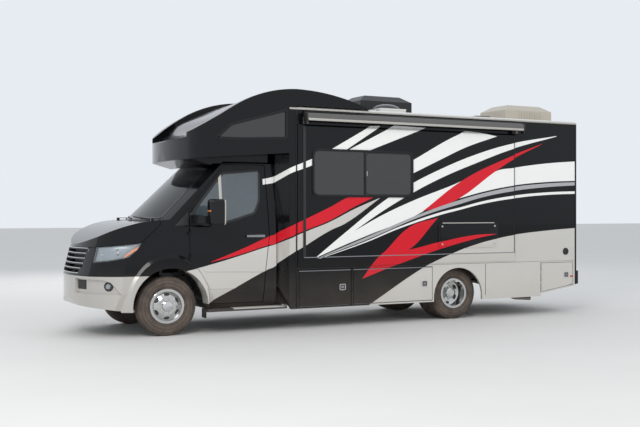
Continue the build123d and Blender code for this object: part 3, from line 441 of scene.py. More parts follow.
class Look(Enum):
    """The plain finishes of the vehicle."""

    SHELL = Finish("white_shell", "white_shell", (0.62, 0.62, 0.59), 0.42, coat=0.3, grain=400.0,
                   grain_depth=0.0002, dust=0.1)
    BEIGE = Finish("beige_shell", "white_shell", (0.46, 0.42, 0.35), 0.45, coat=0.2, grain=400.0,
                   grain_depth=0.0002)
    PLASTIC = Finish("black_plastic", "black_plastic", (0.016, 0.016, 0.017), 0.55, grain=700.0,
                     grain_depth=0.0004, dust=0.2)
    SHROUD = Finish("shroud_black", "black_plastic", (0.010, 0.011, 0.012), 0.40, grain=500.0,
                    grain_depth=0.0002, dust=0.1)
    GRAPHITE = Finish("graphite_casing", "black_plastic", (0.105, 0.100, 0.098), 0.42, grain=500.0,
                      grain_depth=0.0002, dust=0.1)
    GLOSS_BLACK = Finish("gloss_black", "body_paint", (0.008, 0.008, 0.009), 0.20, coat=0.25, shine=0.2)
    # Cab glass: its blue-grey colour is partly the glass's own tint and partly a painted reflection of the
    # sky.
    GLASS = Finish("cab_glass_painted_sky", "glass", (0.075, 0.10, 0.115), 0.03, coat=1.0, alpha=0.80, wear=0.03,
                   shine=0.8)
    SCREEN = Finish("windscreen_glass", "glass", (0.010, 0.014, 0.014), 0.03, coat=0.15, alpha=0.75,
                    wear=0.03, shine=0.3)
    DARK_GLASS = Finish("coach_glass", "glass", (0.016, 0.018, 0.017), 0.03, coat=0.8, wear=0.03, shine=0.45,
                        variation=0.4)
    SMOKED = Finish("smoked_dome", "glass", (0.035, 0.038, 0.040), 0.12, coat=0.6, alpha=0.86, wear=0.05)
    LENS = Finish("clear_lens", "lamp_lens", (0.70, 0.76, 0.80), 0.05, coat=0.6, alpha=0.16, wear=0.03)
    LENS_BRIGHT = Finish("bright_lens", "lamp_lens", (0.26, 0.28, 0.30), 0.10, coat=1.0, grain=160.0,
                         grain_depth=0.0006, wear=0.05)
    REFLECTOR = Finish("lamp_reflector", "lamp_lens", (0.30, 0.34, 0.37), 0.28, metallic=0.8, wear=0.10,
                       grain=60.0, grain_depth=0.0015, variation=0.5)
    RED_LENS = Finish("red_lens", "red_lens", (0.45, 0.010, 0.010), 0.15, coat=1.0, grain=220.0,
                      grain_depth=0.0004)
    AMBER_LENS = Finish("amber_lens", "red_lens", (0.75, 0.20, 0.02), 0.15, coat=1.0, grain=220.0,
                        grain_depth=0.0004)
    CHROME = Finish("chrome", "polished_wheel", (0.66, 0.66, 0.67), 0.08, metallic=1.0, wear=0.08)
    POLISHED = Finish("polished_wheel", "polished_wheel", (0.56, 0.56, 0.55), 0.14, metallic=1.0, wear=0.16,
                      grain=120.0, grain_depth=0.0001)
    DARK_CHROME = Finish("dark_chrome", "polished_wheel", (0.30, 0.30, 0.31), 0.20, metallic=0.95, wear=0.12)
    MIRROR = Finish("mirror_glass", "polished_wheel", (0.85, 0.87, 0.88), 0.02, metallic=1.0, wear=0.02)
    ALUMINIUM = Finish("satin_aluminium", "aluminium", (0.58, 0.55, 0.50), 0.34, metallic=0.9, grain=300.0,
                       grain_depth=0.0001)
    FRAME = Finish("chassis_black", "frame_steel", (0.020, 0.020, 0.021), 0.48, grain=250.0,
                   grain_depth=0.0006, dust=0.5)
    IRON = Finish("cast_iron", "engine_iron", (0.10, 0.10, 0.10), 0.65, metallic=0.5, grain=180.0,
                  grain_depth=0.0012)
    EXHAUST = Finish("exhaust_steel", "exhaust_steel", (0.24, 0.22, 0.19), 0.45, metallic=0.9, grain=150.0,
                     grain_depth=0.0004)
    ZINC = Finish("zinc_sheet", "zinc_sheet", (0.32, 0.33, 0.34), 0.45, metallic=0.8, grain=60.0,
                  grain_depth=0.0002)
    BOARD = Finish("floor_board", "floor_board", (0.20, 0.13, 0.08), 0.60, grain=160.0, grain_depth=0.0003,
                   variation=0.4)
    SILVER = Finish("silver_trim", "silver_paint", (0.52, 0.50, 0.47), 0.30, metallic=0.45, coat=0.6,
                    dust=0.25)

    @property
    def slot(self) -> str:
        """The record's material slot of this finish."""
        return self.value.slot

    def make(self) -> bpy.types.Material:
        """Build this finish's material."""
        return self.value.make()


def coachwork(name: str, inner: float, lined: bool) -> bpy.types.Material:
    """Gloss black paint with the side's stripes.

    Args:
        name: the material's name.
        inner: the distance from the centre line within which the stripes end, or 0 where they end nowhere.
        lined: whether the inside is pale lining, or else black.

    Returns:
        The material.
    """
    graph = surface(name)
    colour: Term | Colour = Paint.BLACK.value
    metal: Term | float = 0.0
    for stripe in STRIPES:
        here = stripe.mask(graph)
        colour = graph.mix(here, colour, stripe.paint.value)
        metal = metal * (1.0 - here) if isinstance(metal, Term) else metal
        if stripe.paint in (Paint.SILVER, Paint.GREY):
            metal = here * METALLIC_PAINT + metal
    broad = graph.noise(2.2, 3.0)
    dust = ~graph.ramp(graph.place("Z"), 0.15, 1.0) * broad * 0.22
    colour = graph.mix(dust, colour, DUST)
    rough = graph.math("ADD", 0.10, broad * 0.10 + dust * 0.6, clamp=True)
    if inner:
        inside = abs(graph.place("Y")) < inner
        colour = graph.mix(inside, colour, INTERIOR if lined else Paint.BLACK.value)
        rough = rough + inside * (0.5 if lined else 0.0)
        metal = metal * (1.0 - inside) if isinstance(metal, Term) else metal
    peel = graph.noise(140.0, 1.0)
    return graph.finish(Base_Color=colour, Metallic=metal, Roughness=rough, Coat_Weight=0.28,
                        Coat_Roughness=0.03, Specular_IOR_Level=0.15, Normal=graph.bump(peel, 0.00004))


def tyre_rubber() -> bpy.types.Material:
    """Dusty tyre rubber: UV runs across the section and round the tyre.

    Returns:
        The material.
    """
    graph = surface("tyre_rubber")
    across = graph.place("X", "UV")
    rings = graph.math("SINE", across * 112.0)
    side = (across < 0.36) | (across > 0.64)
    dust = graph.noise(9.0, 5.0)
    fine = graph.noise(400.0, 2.0)
    colour = graph.mix(graph.ramp(dust, 0.25, 0.7), (0.062, 0.048, 0.040), (0.135, 0.102, 0.082))
    colour = graph.mix((rings * side * 0.3 + 0.3) & 0.45, colour, (0.045, 0.036, 0.031))
    height = rings * side * 0.6 + fine * 0.3
    return graph.finish(Base_Color=colour, Roughness=0.78 + dust * 0.12, Normal=graph.bump(height, 0.003))


def woven_cloth() -> bpy.types.Material:
    """Seat cloth with a fine weave.

    Returns:
        The material.
    """
    graph = surface("seat_cloth")
    along = graph.place("Z") + graph.place("X")
    weave = graph.math("SINE", graph.place("Y") * 1900.0) * graph.math("SINE", along * 1900.0)
    broad = graph.noise(12.0, 3.0)
    colour = graph.mix(broad, (0.050, 0.048, 0.046), (0.10, 0.096, 0.090))
    return graph.finish(Base_Color=colour, Roughness=0.86 + weave * 0.04, Sheen_Weight=0.3,
                        Normal=graph.bump(weave, 0.0004))


class Special(Enum):
    """Finishes that follow the vehicle's lines or surfaces: name, slot and how far out the lining goes."""

    COACHWORK = ("coachwork", "body_paint", 0.0)
    CAB = ("cab_coachwork", "body_paint", 0.80)
    LINED = ("lined_coachwork", "body_paint", 1.145)
    RUBBER = ("tyre_rubber", "tyre", 0.0)
    CLOTH = ("seat_cloth", "seat_cloth", 0.0)

    @property
    def slot(self) -> str:
        """The record's material slot of this finish."""
        return self.value[1]

    def make(self) -> bpy.types.Material:
        """Build this finish's material.

        Returns:
            The material.
        """
        name, slot, inner = self.value
        if slot == "body_paint":
            return coachwork(name, inner, self is Special.LINED)
        return tyre_rubber() if self is Special.RUBBER else woven_cloth()


# Mesh making


class Maker:
    """One mesh piece, made of simple forms in the frame's metres."""

    def __init__(self) -> None:
        """Start an empty mesh."""
        self.mesh = bmesh.new()

    def box(self, low: Point3, high: Point3, bevel: float = 0.004) -> "Maker":
        """Add a box between two corners, its edges rounded.

        Args:
            low: the corner with the lowest coordinates.
            high: the opposite corner.
            bevel: the edges' radius.

        Returns:
            This maker.
        """
        made = bmesh.ops.create_cube(self.mesh, size=1.0)["verts"]
        bmesh.ops.scale(self.mesh, vec=Vector(high) - Vector(low), verts=made)
        if bevel:
            edges = list({edge for vert in made for edge in vert.link_edges})
            made = bmesh.ops.bevel(self.mesh, geom=edges, offset=bevel, **BEVEL)["verts"]
        return self.move(made, (Vector(high) + Vector(low)) / 2)

    def both(self, stations: Point, spread: Point, heights: Point, bevel: float) -> "Maker":
        """Add a box on each side.

        Args:
            stations: where it starts and where it ends.
            spread: its inner and outer distance from the centre line.
            heights: its bottom and its top.
            bevel: the edges' radius.

        Returns:
            This maker.
        """
        for _, side in SIDES:
            near, far = from_centre(side, *spread)
            low = (station(stations[0]), near, heights[0])
            self.box(low, (station(stations[1]), far, heights[1]), bevel)
        return self

    def outline(self, points: Sequence[Point], axis: str, level: float) -> bmesh.types.BMFace:
        """Add a flat face.

        Args:
            points: its corners in the other two axes, in X, Y, Z order.
            axis: the letter of the axis it faces along.
            level: its place on that axis.

        Returns:
            The new face.
        """
        number = "XYZ".index(axis)
        spots = [list(pair) for pair in points]
        for spot in spots:
            spot.insert(number, level)
        return self.mesh.faces.new([self.mesh.verts.new(spot) for spot in spots])

    def pull(self, faces: Sequence[bmesh.types.BMFace], axis: str, distance: float, bevel: float) -> "Maker":
        """Pull flat faces along an axis into solids.

        Args:
            faces: the faces.
            axis: the axis's letter.
            distance: how far they are pulled.
            bevel: the radius of the edges round both ends.

        Returns:
            This maker.
        """
        made = bmesh.ops.extrude_face_region(self.mesh, geom=list(faces))["geom"]
        far = [item for item in made if isinstance(item, bmesh.types.BMVert)]
        step = Vector([distance if letter == axis else 0.0 for letter in "XYZ"])
        bmesh.ops.translate(self.mesh, vec=step, verts=far)
        if bevel:
            ends = [item for item in made if isinstance(item, bmesh.types.BMFace)] + list(faces)
            edges = [edge for edge in {edge for item in ends for edge in item.edges}
                     if sum(face in ends for face in edge.link_faces) == 1]
            bmesh.ops.bevel(self.mesh, geom=edges, offset=bevel, **BEVEL)
        return self

    def prism(self, points: Sequence[Point], axis: str, start: float, end: float,
              bevel: float = 0.002) -> "Maker":
        """Add a flat outline pulled along an axis from start to end."""
        return self.pull([self.outline(points, axis, start)], axis, end - start, bevel)

    def rim(self, points: Sequence[Point], axis: str, start: float, end: float, width: float,
            bevel: float = 0.002) -> "Maker":
        """Add a frame inside an outline.

        Args:
            points: the frame's outer outline.
            axis: the letter of the axis it faces along.
            start: where it starts on that axis.
            end: where it ends.
            width: how wide its border is.
            bevel: the radius of its edges.

        Returns:
            This maker.
        """
        face = self.outline(points, axis, start)
        face.normal_update()
        border = bmesh.ops.inset_region(self.mesh, faces=[face], thickness=width, use_boundary=True,
                                        use_even_offset=True)["faces"]
        bmesh.ops.delete(self.mesh, geom=[face], context="FACES_ONLY")
        return self.pull(border, axis, end - start, bevel)

    def cylinder(self, centre: Point3, axis: str, radius: float, length: float, steps: int = 28,
                 bevel: float = 0.002) -> "Maker":
        """Add a cylinder.

        Args:
            centre: its middle.
            axis: the letter of the axis it lies along.
            radius: its radius.
            length: its length.
            steps: how many sides it has.
            bevel: the radius of the edges round its ends.

        Returns:
            This maker.
        """
        made = bmesh.ops.create_cone(self.mesh, cap_ends=True, segments=steps, radius1=radius, radius2=radius,
                                     depth=length)["verts"]
        if bevel:
            rims = [edge for edge in {e for v in made for e in v.link_edges}
                    if abs(edge.verts[0].co.z - edge.verts[1].co.z) < TOUCH]
            rounded = bmesh.ops.bevel(self.mesh, geom=rims, offset=bevel, **BEVEL)["verts"]
            made = [vert for vert in {*made, *rounded} if vert.is_valid]
        return self.move(made, Vector(centre), AXIS_TURNS[axis])

    def cone(self, centre: Vector, turn: Matrix, radii: Point, length: float, steps: int) -> "Maker":
        """Add a blunt cone.

        Args:
            centre: its middle.
            turn: a rotation that takes Z to its own axis.
            radii: the radius of its foot and of its top.
            length: its length.
            steps: how many sides it has.

        Returns:
            This maker.
        """
        made = bmesh.ops.create_cone(self.mesh, cap_ends=True, segments=steps, radius1=radii[0],
                                     radius2=radii[1], depth=length)["verts"]
        return self.move(made, centre, turn)

    def spin(self, profile: Sequence[Point], steps: int) -> list[bmesh.types.BMVert]:
        """Turn a closed profile round Z.

        Args:
            profile: its corners, as places along the axis and radii.
            steps: how many pieces go round.

        Returns:
            The new vertices.
        """
        before = set(self.mesh.verts)
        verts = [self.mesh.verts.new((radius, 0.0, along)) for along, radius in profile]
        edges = [self.mesh.edges.new((verts[k - 1], verts[k])) for k in range(len(verts))]
        bmesh.ops.spin(self.mesh, geom=verts + edges, axis=(0, 0, 1), cent=(0, 0, 0), steps=steps,
                       angle=FULL_TURN, use_merge=True)
        return [vert for vert in self.mesh.verts if vert not in before]

    def ring(self, centre: Point3, axis: str, profile: Sequence[Point], steps: int = 40) -> "Maker":
        """Add a closed profile of (along the axis, radius) turned round the axis."""
        return self.move(self.spin(profile, steps), Vector(centre), AXIS_TURNS[axis])

    def dome(self, centre: Point3, size: Point3, steps: int = 24) -> "Maker":
        """Add the upper half of a ball stretched to a size, closed underneath.

        Args:
            centre: the middle of its foot.
            size: its half lengths.
            steps: how many pieces go round.

        Returns:
            This maker.
        """
        made = bmesh.ops.create_uvsphere(self.mesh, u_segments=steps, v_segments=steps // 2,
                                         radius=1.0)["verts"]
        for vert in made:
            vert.co.z = max(vert.co.z, 0.0)
        bmesh.ops.scale(self.mesh, vec=size, verts=made)
        bmesh.ops.translate(self.mesh, vec=centre, verts=made)
        bmesh.ops.remove_doubles(self.mesh, verts=made, dist=10 * TOUCH)
        return self

    def tube(self, path: Sequence[Point3], radius: float, sides: int = 12) -> "Maker":
        """Add a round bar along a path of points, its ends closed.

        Args:
            path: the points.
            radius: the bar's radius.
            sides: how many sides it has.

        Returns:
            This maker.
        """
        points = [Vector(point) for point in path]
        last = None
        for number, point in enumerate(points):
            ahead = points[min(number + 1, len(points) - 1)] - points[max(number - 1, 0)]
            turn = ahead.to_track_quat("Z", "Y").to_matrix().to_4x4()
            closed = number in (0, len(points) - 1)
            verts = bmesh.ops.create_circle(self.mesh, cap_ends=closed, segments=sides, radius=radius,
                                            matrix=Matrix.Translation(point) @ turn)["verts"]
            loop = [edge for edge in {e for v in verts for e in v.link_edges}
                    if edge.is_boundary or edge.is_wire]
            if last:
                bmesh.ops.bridge_loops(self.mesh, edges=last + loop)
            last = loop
        return self

    def slice(self, axis: str, step: float) -> "Maker":
        """Cut the mesh across an axis at even steps, so that it can bend.

        Args:
            axis: the axis's letter.
            step: the distance between two cuts.

        Returns:
            This maker.
        """
        number = "XYZ".index(axis)
        places = [vert.co[number] for vert in self.mesh.verts]
        normal = Vector([1.0 if letter == axis else 0.0 for letter in "XYZ"])
        for count in range(math.ceil(min(places) / step), math.floor(max(places) / step) + 1):
            bmesh.ops.bisect_plane(self.mesh, geom=[*self.mesh.verts, *self.mesh.edges, *self.mesh.faces],
                                   dist=TOUCH, plane_co=normal * count * step, plane_no=normal)
        return self

    def lay(self, skin: Callable[[Vector], Vector]) -> "Maker":
        """Move every vertex to where a skin puts it.

        Args:
            skin: gives a place for a place.

        Returns:
            This maker.
        """
        for vert in self.mesh.verts:
            vert.co = skin(vert.co)
        return self

    def move(self, verts: Iterable[bmesh.types.BMVert], middle: Vector,
             turn: Matrix | None = None) -> "Maker":
        """Turn some vertices about the origin and carry them to their place.

        Args:
            verts: the vertices.
            middle: where the origin goes.
            turn: the rotation, if there is one.

        Returns:
            This maker.
        """
        verts = list(verts)
        if turn is not None:
            bmesh.ops.rotate(self.mesh, cent=(0, 0, 0), matrix=turn, verts=verts)
        bmesh.ops.translate(self.mesh, vec=middle, verts=verts)
        return self

    def piece(self, name: str, look: "Look | Special", body: str = "body", sharp: float = 35.0) -> Piece:
        """Turn the forms into an object that rides on a body.

        Args:
            name: the piece's name.
            look: its finish.
            body: the body that it moves with.
            sharp: the angle in degrees over which an edge stays sharp.

        Returns:
            The new object.
        """
        if not self.mesh.faces:
            raise ValueError(f"{name} has no faces")
        bmesh.ops.recalc_face_normals(self.mesh, faces=self.mesh.faces)
        data = bpy.data.meshes.new(name)
        self.mesh.to_mesh(data)
        self.mesh.free()
        data.polygons.foreach_set("use_smooth", [True] * len(data.polygons))
        data.set_sharp_from_angle(angle=math.radians(sharp))
        data.materials.append(PALETTE.get(look))
        made = bpy.data.objects.new(name, data)
        bpy.context.scene.collection.objects.link(made)
        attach(made, body)
        look.slot
        return made


AXIS_TURNS = {"X": Matrix.Rotation(math.pi / 2, 3, "Y"), "Y": Matrix.Rotation(-math.pi / 2, 3, "X"),
              "Z": Matrix.Identity(3)}


class Palette:
    """Materials made once, on first use."""

    def __init__(self) -> None:
        """Start with no materials."""
        self.made: dict[object, bpy.types.Material] = {}

    def get(self, look: "Look | Special") -> bpy.types.Material:
        """The material of a finish.

        Args:
            look: the finish.

        Returns:
            Its material.
        """
        if look not in self.made:
            self.made[look] = look.make()
        return self.made[look]


PALETTE = Palette()


def soften(points: Sequence[Point], radius: float, steps: int = 5) -> list[Point]:
    """Round the corners of a closed outline.

    Args:
        points: its corners.
        radius: how far along both sides the rounding starts.
        steps: how many pieces make each corner.

    Returns:
        The corners of the rounded outline.
    """
    done = []
    count = len(points)
    for number, corner in enumerate(points):
        here = Vector(corner)
        before = Vector(points[number - 1]) - here
        after = Vector(points[(number + 1) % count]) - here
        start = here + before.normalized() * min(radius, before.length * 0.45)
        end = here + after.normalized() * min(radius, after.length * 0.45)
        for step in range(steps + 1):
            t = step / steps
            spot = start * (1 - t) ** 2 + here * 2 * t * (1 - t) + end * t * t
            done.append((spot.x, spot.y))
    return done


def grown(points: Sequence[Point], amount: float) -> list[Point]:
    """Move an outline's sides outwards.

    Args:
        points: its corners.
        amount: how far out, or less than 0 for inwards.

    Returns:
        The corners of the new outline.
    """
    area = sum(a[0] * b[1] - b[0] * a[1] for a, b in zip(points, [*points[1:], points[0]]))
    turn = 1.0 if area > 0 else -1.0
    done = []
    for number, corner in enumerate(points):
        here = Vector(corner)
        before = (here - Vector(points[number - 1])).normalized()
        after = (Vector(points[(number + 1) % len(points)]) - here).normalized()
        normals = [Vector((edge.y, -edge.x)) * turn for edge in (before, after)]
        way = (normals[0] + normals[1]).normalized()
        spot = here + way * amount / max(way.dot(normals[0]), 0.35)
        done.append((spot.x, spot.y))
    return done


def from_centre(side: int, inner: float, outer: float) -> list[float]:
    """Two distances from the centre line on a side, as Y from low to high."""
    return sorted((side * inner, side * outer))


def oblong(low: float, high: float, bottom: float, top: float, radius: float = 0.0) -> list[Point]:
    """A rectangle, its corners rounded by a radius."""
    corners = [(low, bottom), (high, bottom), (high, top), (low, top)]
    return soften(corners, radius) if radius else corners


def panel(front: float, rear: float, bottom: float, top: float, radius: float = 0.0) -> list[Point]:
    """A rectangle of stations and heights in the frame, its corners rounded by a radius."""
    return oblong(station(front), station(rear), bottom, top, radius)


def placed(points: Sequence[Point]) -> list[Point]:
    """Points of (station, height) as points of the frame."""
    return [(station(x), z) for x, z in points]


def between(table: Sequence[Point], where: float) -> float:
    """Look a value up in a table.

    Args:
        table: rows of a place and its value, in order.
        where: the place.

    Returns:
        The value there, in a straight line between two rows.
    """
    for (low, first), (high, second) in zip(table, table[1:]):
        if where <= high:
            return first + (second - first) * max(0.0, where - low) / (high - low)
    return table[-1][1]


@dataclass(frozen=True)
class CabShape:
    """The cab's outer skin, as the places on it."""

    section: tuple[Point, ...] = ((0.33, 0.955), (0.56, 1.0), (0.82, 1.01), (1.05, 1.005), (1.4, 0.992),
                                  (1.5, 0.982), (2.25, 0.872), (2.322, 0.815))
    wing: tuple[Point, ...] = ((-0.97, 0.60), (-0.93, 0.70), (-0.84, 0.835), (-0.74, 0.915), (-0.60, 0.984),
                               (-0.40, 1.028), (-0.15, 1.05))
    nose_radius: float = 2.1
    nose_rake: float = 0.24
    screen_radius: float = 2.383
    screen_rake: float = 1.05
    screen_foot: float = 1.49
    screen_station: float = -0.2
    nose_station: float = -1.05
    rake_foot: float = 0.8
    wing_end: float = -0.15
    chin: Point = (-1.056, 0.211)

    def flank(self, x: float, z: float) -> float:
        """The half width at a station and a height.

        Args:
            x: the station.
            z: the height.

        Returns:
            The half width.
        """
        section = between(self.section, z)
        raked = x - self.nose_rake * max(0.0, z - self.rake_foot)
        return min(section, between(self.wing, raked)) if raked < self.wing_end else section

    def nose(self, y: float, z: float) -> float:
        """The station of the nose at a width and a height.

        Args:
            y: the distance from the centre line.
            z: the height.

        Returns:
            The station.
        """
        plan = self.nose_station + self.nose_radius - math.sqrt(self.nose_radius ** 2 - y * y)
        above = z - self.rake_foot
        return max(plan + self.nose_rake * max(0.0, above), self.chin[0] + self.chin[1] * above)

    def screen(self, y: float, z: float) -> float:
        """The station of the windscreen at a width and a height."""
        plan = self.screen_station + self.screen_radius - math.sqrt(self.screen_radius ** 2 - y * y)
        return plan + self.screen_rake * (z - self.screen_foot)

    def onto_flank(self, side: int) -> Callable[[Vector], Vector]:
        """A skin that takes Y as a height over the cab's side.

        Args:
            side: -1 on the left.

        Returns:
            The skin.
        """
        def skin(spot: Vector) -> Vector:
            """Where a place goes."""
            return Vector((spot.x, side * (self.flank(spot.x - FRONT_AXLE, spot.z) + spot.y), spot.z))
        return skin

    def onto_nose(self, spot: Vector) -> Vector:
        """A skin that takes X as a depth behind the nose."""
        return Vector((station(self.nose(spot.y, spot.z)) + spot.x, spot.y, spot.z))

    def onto_screen(self, spot: Vector) -> Vector:
        """A skin that takes X as a depth behind the windscreen."""
        return Vector((station(self.screen(spot.y, spot.z)) + spot.x, spot.y, spot.z))


CAB = CabShape()


# Wheels


@dataclass
class Tyre:
    """One road tyre with its tread, in place of the plain one."""

    name: str
    node: str
    body: str
    centre: Point3
    half_width: float = 0.1075
    bead: float = 0.2035
    radius: float = 0.3838
    pitches: int = 60
    groove: float = 0.008
    sipe: float = 0.45
    slant: float = 0.4
    widest: float = 0.292
    shoulder: float = 0.049
    tread_foot: float = 0.36
    ribs: tuple[Point, ...] = ((0.0675, 0.0), (0.050, 0.0), (0.048, 1.0), (0.040, 1.0), (0.038, 0.0),
                               (0.018, 0.0), (0.016, 1.0), (0.009, 1.0), (0.007, 0.0))
    phases: tuple[float, ...] = (0.0, 0.80, 0.84, 0.96)

    def section(self) -> list[Point3]:
        """The profile across: place along the axle, radius and how far a slot cuts in.

        Returns:
            The points from one bead to the other.
        """
        low = Vector((self.half_width - 0.035, self.bead))
        mid = Vector((self.half_width, self.widest))
        high = Vector((self.half_width - 0.022, self.radius - 0.014))
        half = []
        for step in range(9):
            t = step / 8
            spot = low * (1 - t) * (1 - 2 * t) + mid * 4 * t * (1 - t) + high * t * (2 * t - 1)
            half.append((spot.x, spot.y, self.groove * 0.8 if step > 6 else 0.0))
        for edge, depth in self.ribs:
            slot = self.groove if edge > self.shoulder else self.groove * self.sipe
            half.append((edge, self.radius - depth * self.groove, 0.0 if depth else slot))
        return half + [(-a, r, s) for a, r, s in reversed(half)]

    def build(self) -> list[Piece]:
        """Make the tyre: its section is spun round, and the slots are pressed into the tread.

        Returns:
            The tyre alone.
        """
        maker = Maker()
        mesh = maker.mesh
        section = self.section()
        steps = self.pitches * len(self.phases)
        maker.spin([(along, radius) for along, radius, _ in section], steps)
        layer = mesh.loops.layers.uv.new("UVMap")
        places = {}
        for vert in mesh.verts:
            radius = math.hypot(vert.co.x, vert.co.y)
            turn = math.atan2(vert.co.y, vert.co.x) % FULL_TURN
            count = round(turn / FULL_TURN * steps) % steps
            number = min(range(len(section)),
                         key=lambda k: abs(section[k][0] - vert.co.z) + abs(section[k][1] - radius))
            slot = section[number][2]
            pitch, phase = divmod(count, len(self.phases))
            angle = FULL_TURN * (pitch + self.phases[phase]) / self.pitches
            slant = self.slant * FULL_TURN / self.pitches if radius > self.tread_foot else 0.0
            angle += slant * vert.co.z / self.half_width
            places[vert] = (number / len(section), count / steps)
            radius -= slot * (phase > 1)
            vert.co = Vector((radius * math.cos(angle), radius * math.sin(angle), vert.co.z))
        for face in mesh.faces:
            for loop in face.loops:
                loop[layer].uv = places[loop.vert]
        maker.move(mesh.verts, Vector(self.centre), AXIS_TURNS["Y"])
        made = maker.piece(self.name, Special.RUBBER, self.body, sharp=30)
        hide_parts(self.node)
        return [made]


@dataclass
class Wheels:
    """All road wheels: tyres, nuts, hub caps, bright lips and hand holes.

    front_disc and rear_disc give a disc's distance from the centre line at disc_foot, and its slope
    from there outwards.
    """

    lug_circle: float = 0.088
    lugs: int = 8
    front_y: float = 0.85
    outer_y: float = 0.925
    inner_y: float = 0.660
    hole_circle: float = 0.153
    holes: int = 6
    hole_steps: int = 20
    hole_half: Point = (0.040, 0.0205)
    disc_foot: float = 0.12
    front_disc: Point = (0.933, -0.483)
    rear_disc: Point = (0.809, 0.55)
    front_face: float = 0.084
    rear_face: float = -0.1165
    lip: float = 0.095

    def trim(self, name: str, body: str, side: int, centre: Point3, face: float, lip: float) -> list[Piece]:
        """Make the nuts, the hub cap, the lip and the hand holes of one wheel.

        Args:
            name: the end of the pieces' names.
            body: the wheel's body.
            side: -1 on the left.
            centre: the wheel's middle.
            face: the distance of the nuts' seat from the centre line.
            lip: the distance of the rim's outer edge from the centre line.

        Returns:
            The pieces.
        """
        maker = Maker()
        x, _, z = centre
        for number in range(self.lugs):
            angle = FULL_TURN * (number + 0.5) / self.lugs
            spot = (x + self.lug_circle * math.cos(angle), side * (face + 0.012),
                    z + self.lug_circle * math.sin(angle))
            maker.cylinder(spot, "Y", 0.0125, 0.034, steps=6, bevel=0.003)
        hub = [(face - 0.004, 0.070), (face + 0.030, 0.062), (face + 0.038, 0.050), (face + 0.040, 0.0005),
               (face - 0.004, 0.0005)]
        maker.ring((x, 0.0, z), "Y", [(side * a, r) for a, r in hub])
        edge = [(lip - 0.008, 0.2225), (lip + 0.0005, 0.2225), (lip + 0.0025, 0.218), (lip + 0.0005, 0.213),
                (lip - 0.008, 0.210)]
        maker.ring((x, 0.0, z), "Y", [(side * a, r) for a, r in edge], steps=64)
        holes = Maker()
        rims = Maker()
        for number in range(self.holes):
            angle = FULL_TURN * (number + 0.5) / self.holes
            oval = []
            for step in range(self.hole_steps):
                turn = FULL_TURN * step / self.hole_steps
                along = self.hole_half[0] * math.cos(turn)
                out = self.hole_circle + self.hole_half[1] * math.sin(turn)
                oval.append((x + out * math.cos(angle) - along * math.sin(angle),
                             z + out * math.sin(angle) + along * math.cos(angle)))
            holes.prism(oval, "Y", -0.002, 0.0012, 0.0)
            rims.rim(grown(oval, 0.006), "Y", -0.002, 0.0035, 0.006, 0.001)
        foot, slope = self.front_disc if body.startswith("wheel_front") else self.rear_disc

        def on_disc(spot: Vector) -> Vector:
            """A skin that takes Y as a height over the wheel's disc.

            Args:
                spot: a place.

            Returns:
                Where it goes.
            """
            radius = math.hypot(spot.x - x, spot.z - z)
            height = foot + slope * (radius - self.disc_foot) + spot.y
            return Vector((spot.x, side * height, spot.z))

        holes.lay(on_disc)
        rims.lay(on_disc)
        return [maker.piece(f"wheel_trim_{name}", Look.CHROME, body),
                holes.piece(f"hand_holes_{name}", Look.PLASTIC, body),
                rims.piece(f"hand_hole_rims_{name}", Look.CHROME, body)]

    def build(self) -> list[Piece]:
        """Dress every wheel.

        Returns:
            The pieces.
        """
        made = []
        rear_x = station(WHEELBASE)
        for word, side in SIDES:
            body = f"wheel_front_{word}"
            front = (FRONT_AXLE, side * self.front_y, AXLE_HEIGHT)
            made += Tyre(f"tread_front_{word}", f"tyre_front_{word}", body, front).build()
            made += self.trim(f"front_{word}", body, side, front, self.front_y + self.front_face,
                              self.front_y + self.lip)
            body = f"wheel_rear_{word}"
            for place, y in (("outer", self.outer_y), ("inner", self.inner_y)):
                centre = (rear_x, side * y, AXLE_HEIGHT)
                made += Tyre(f"tread_rear_{place}_{word}", f"tyre_rear_{word}", body, centre).build()
            centre = (rear_x, side * self.outer_y, AXLE_HEIGHT)
            made += self.trim(f"rear_{word}", body, side, centre, self.outer_y + self.rear_face,
                              self.outer_y + self.lip)
        return made


# Cab


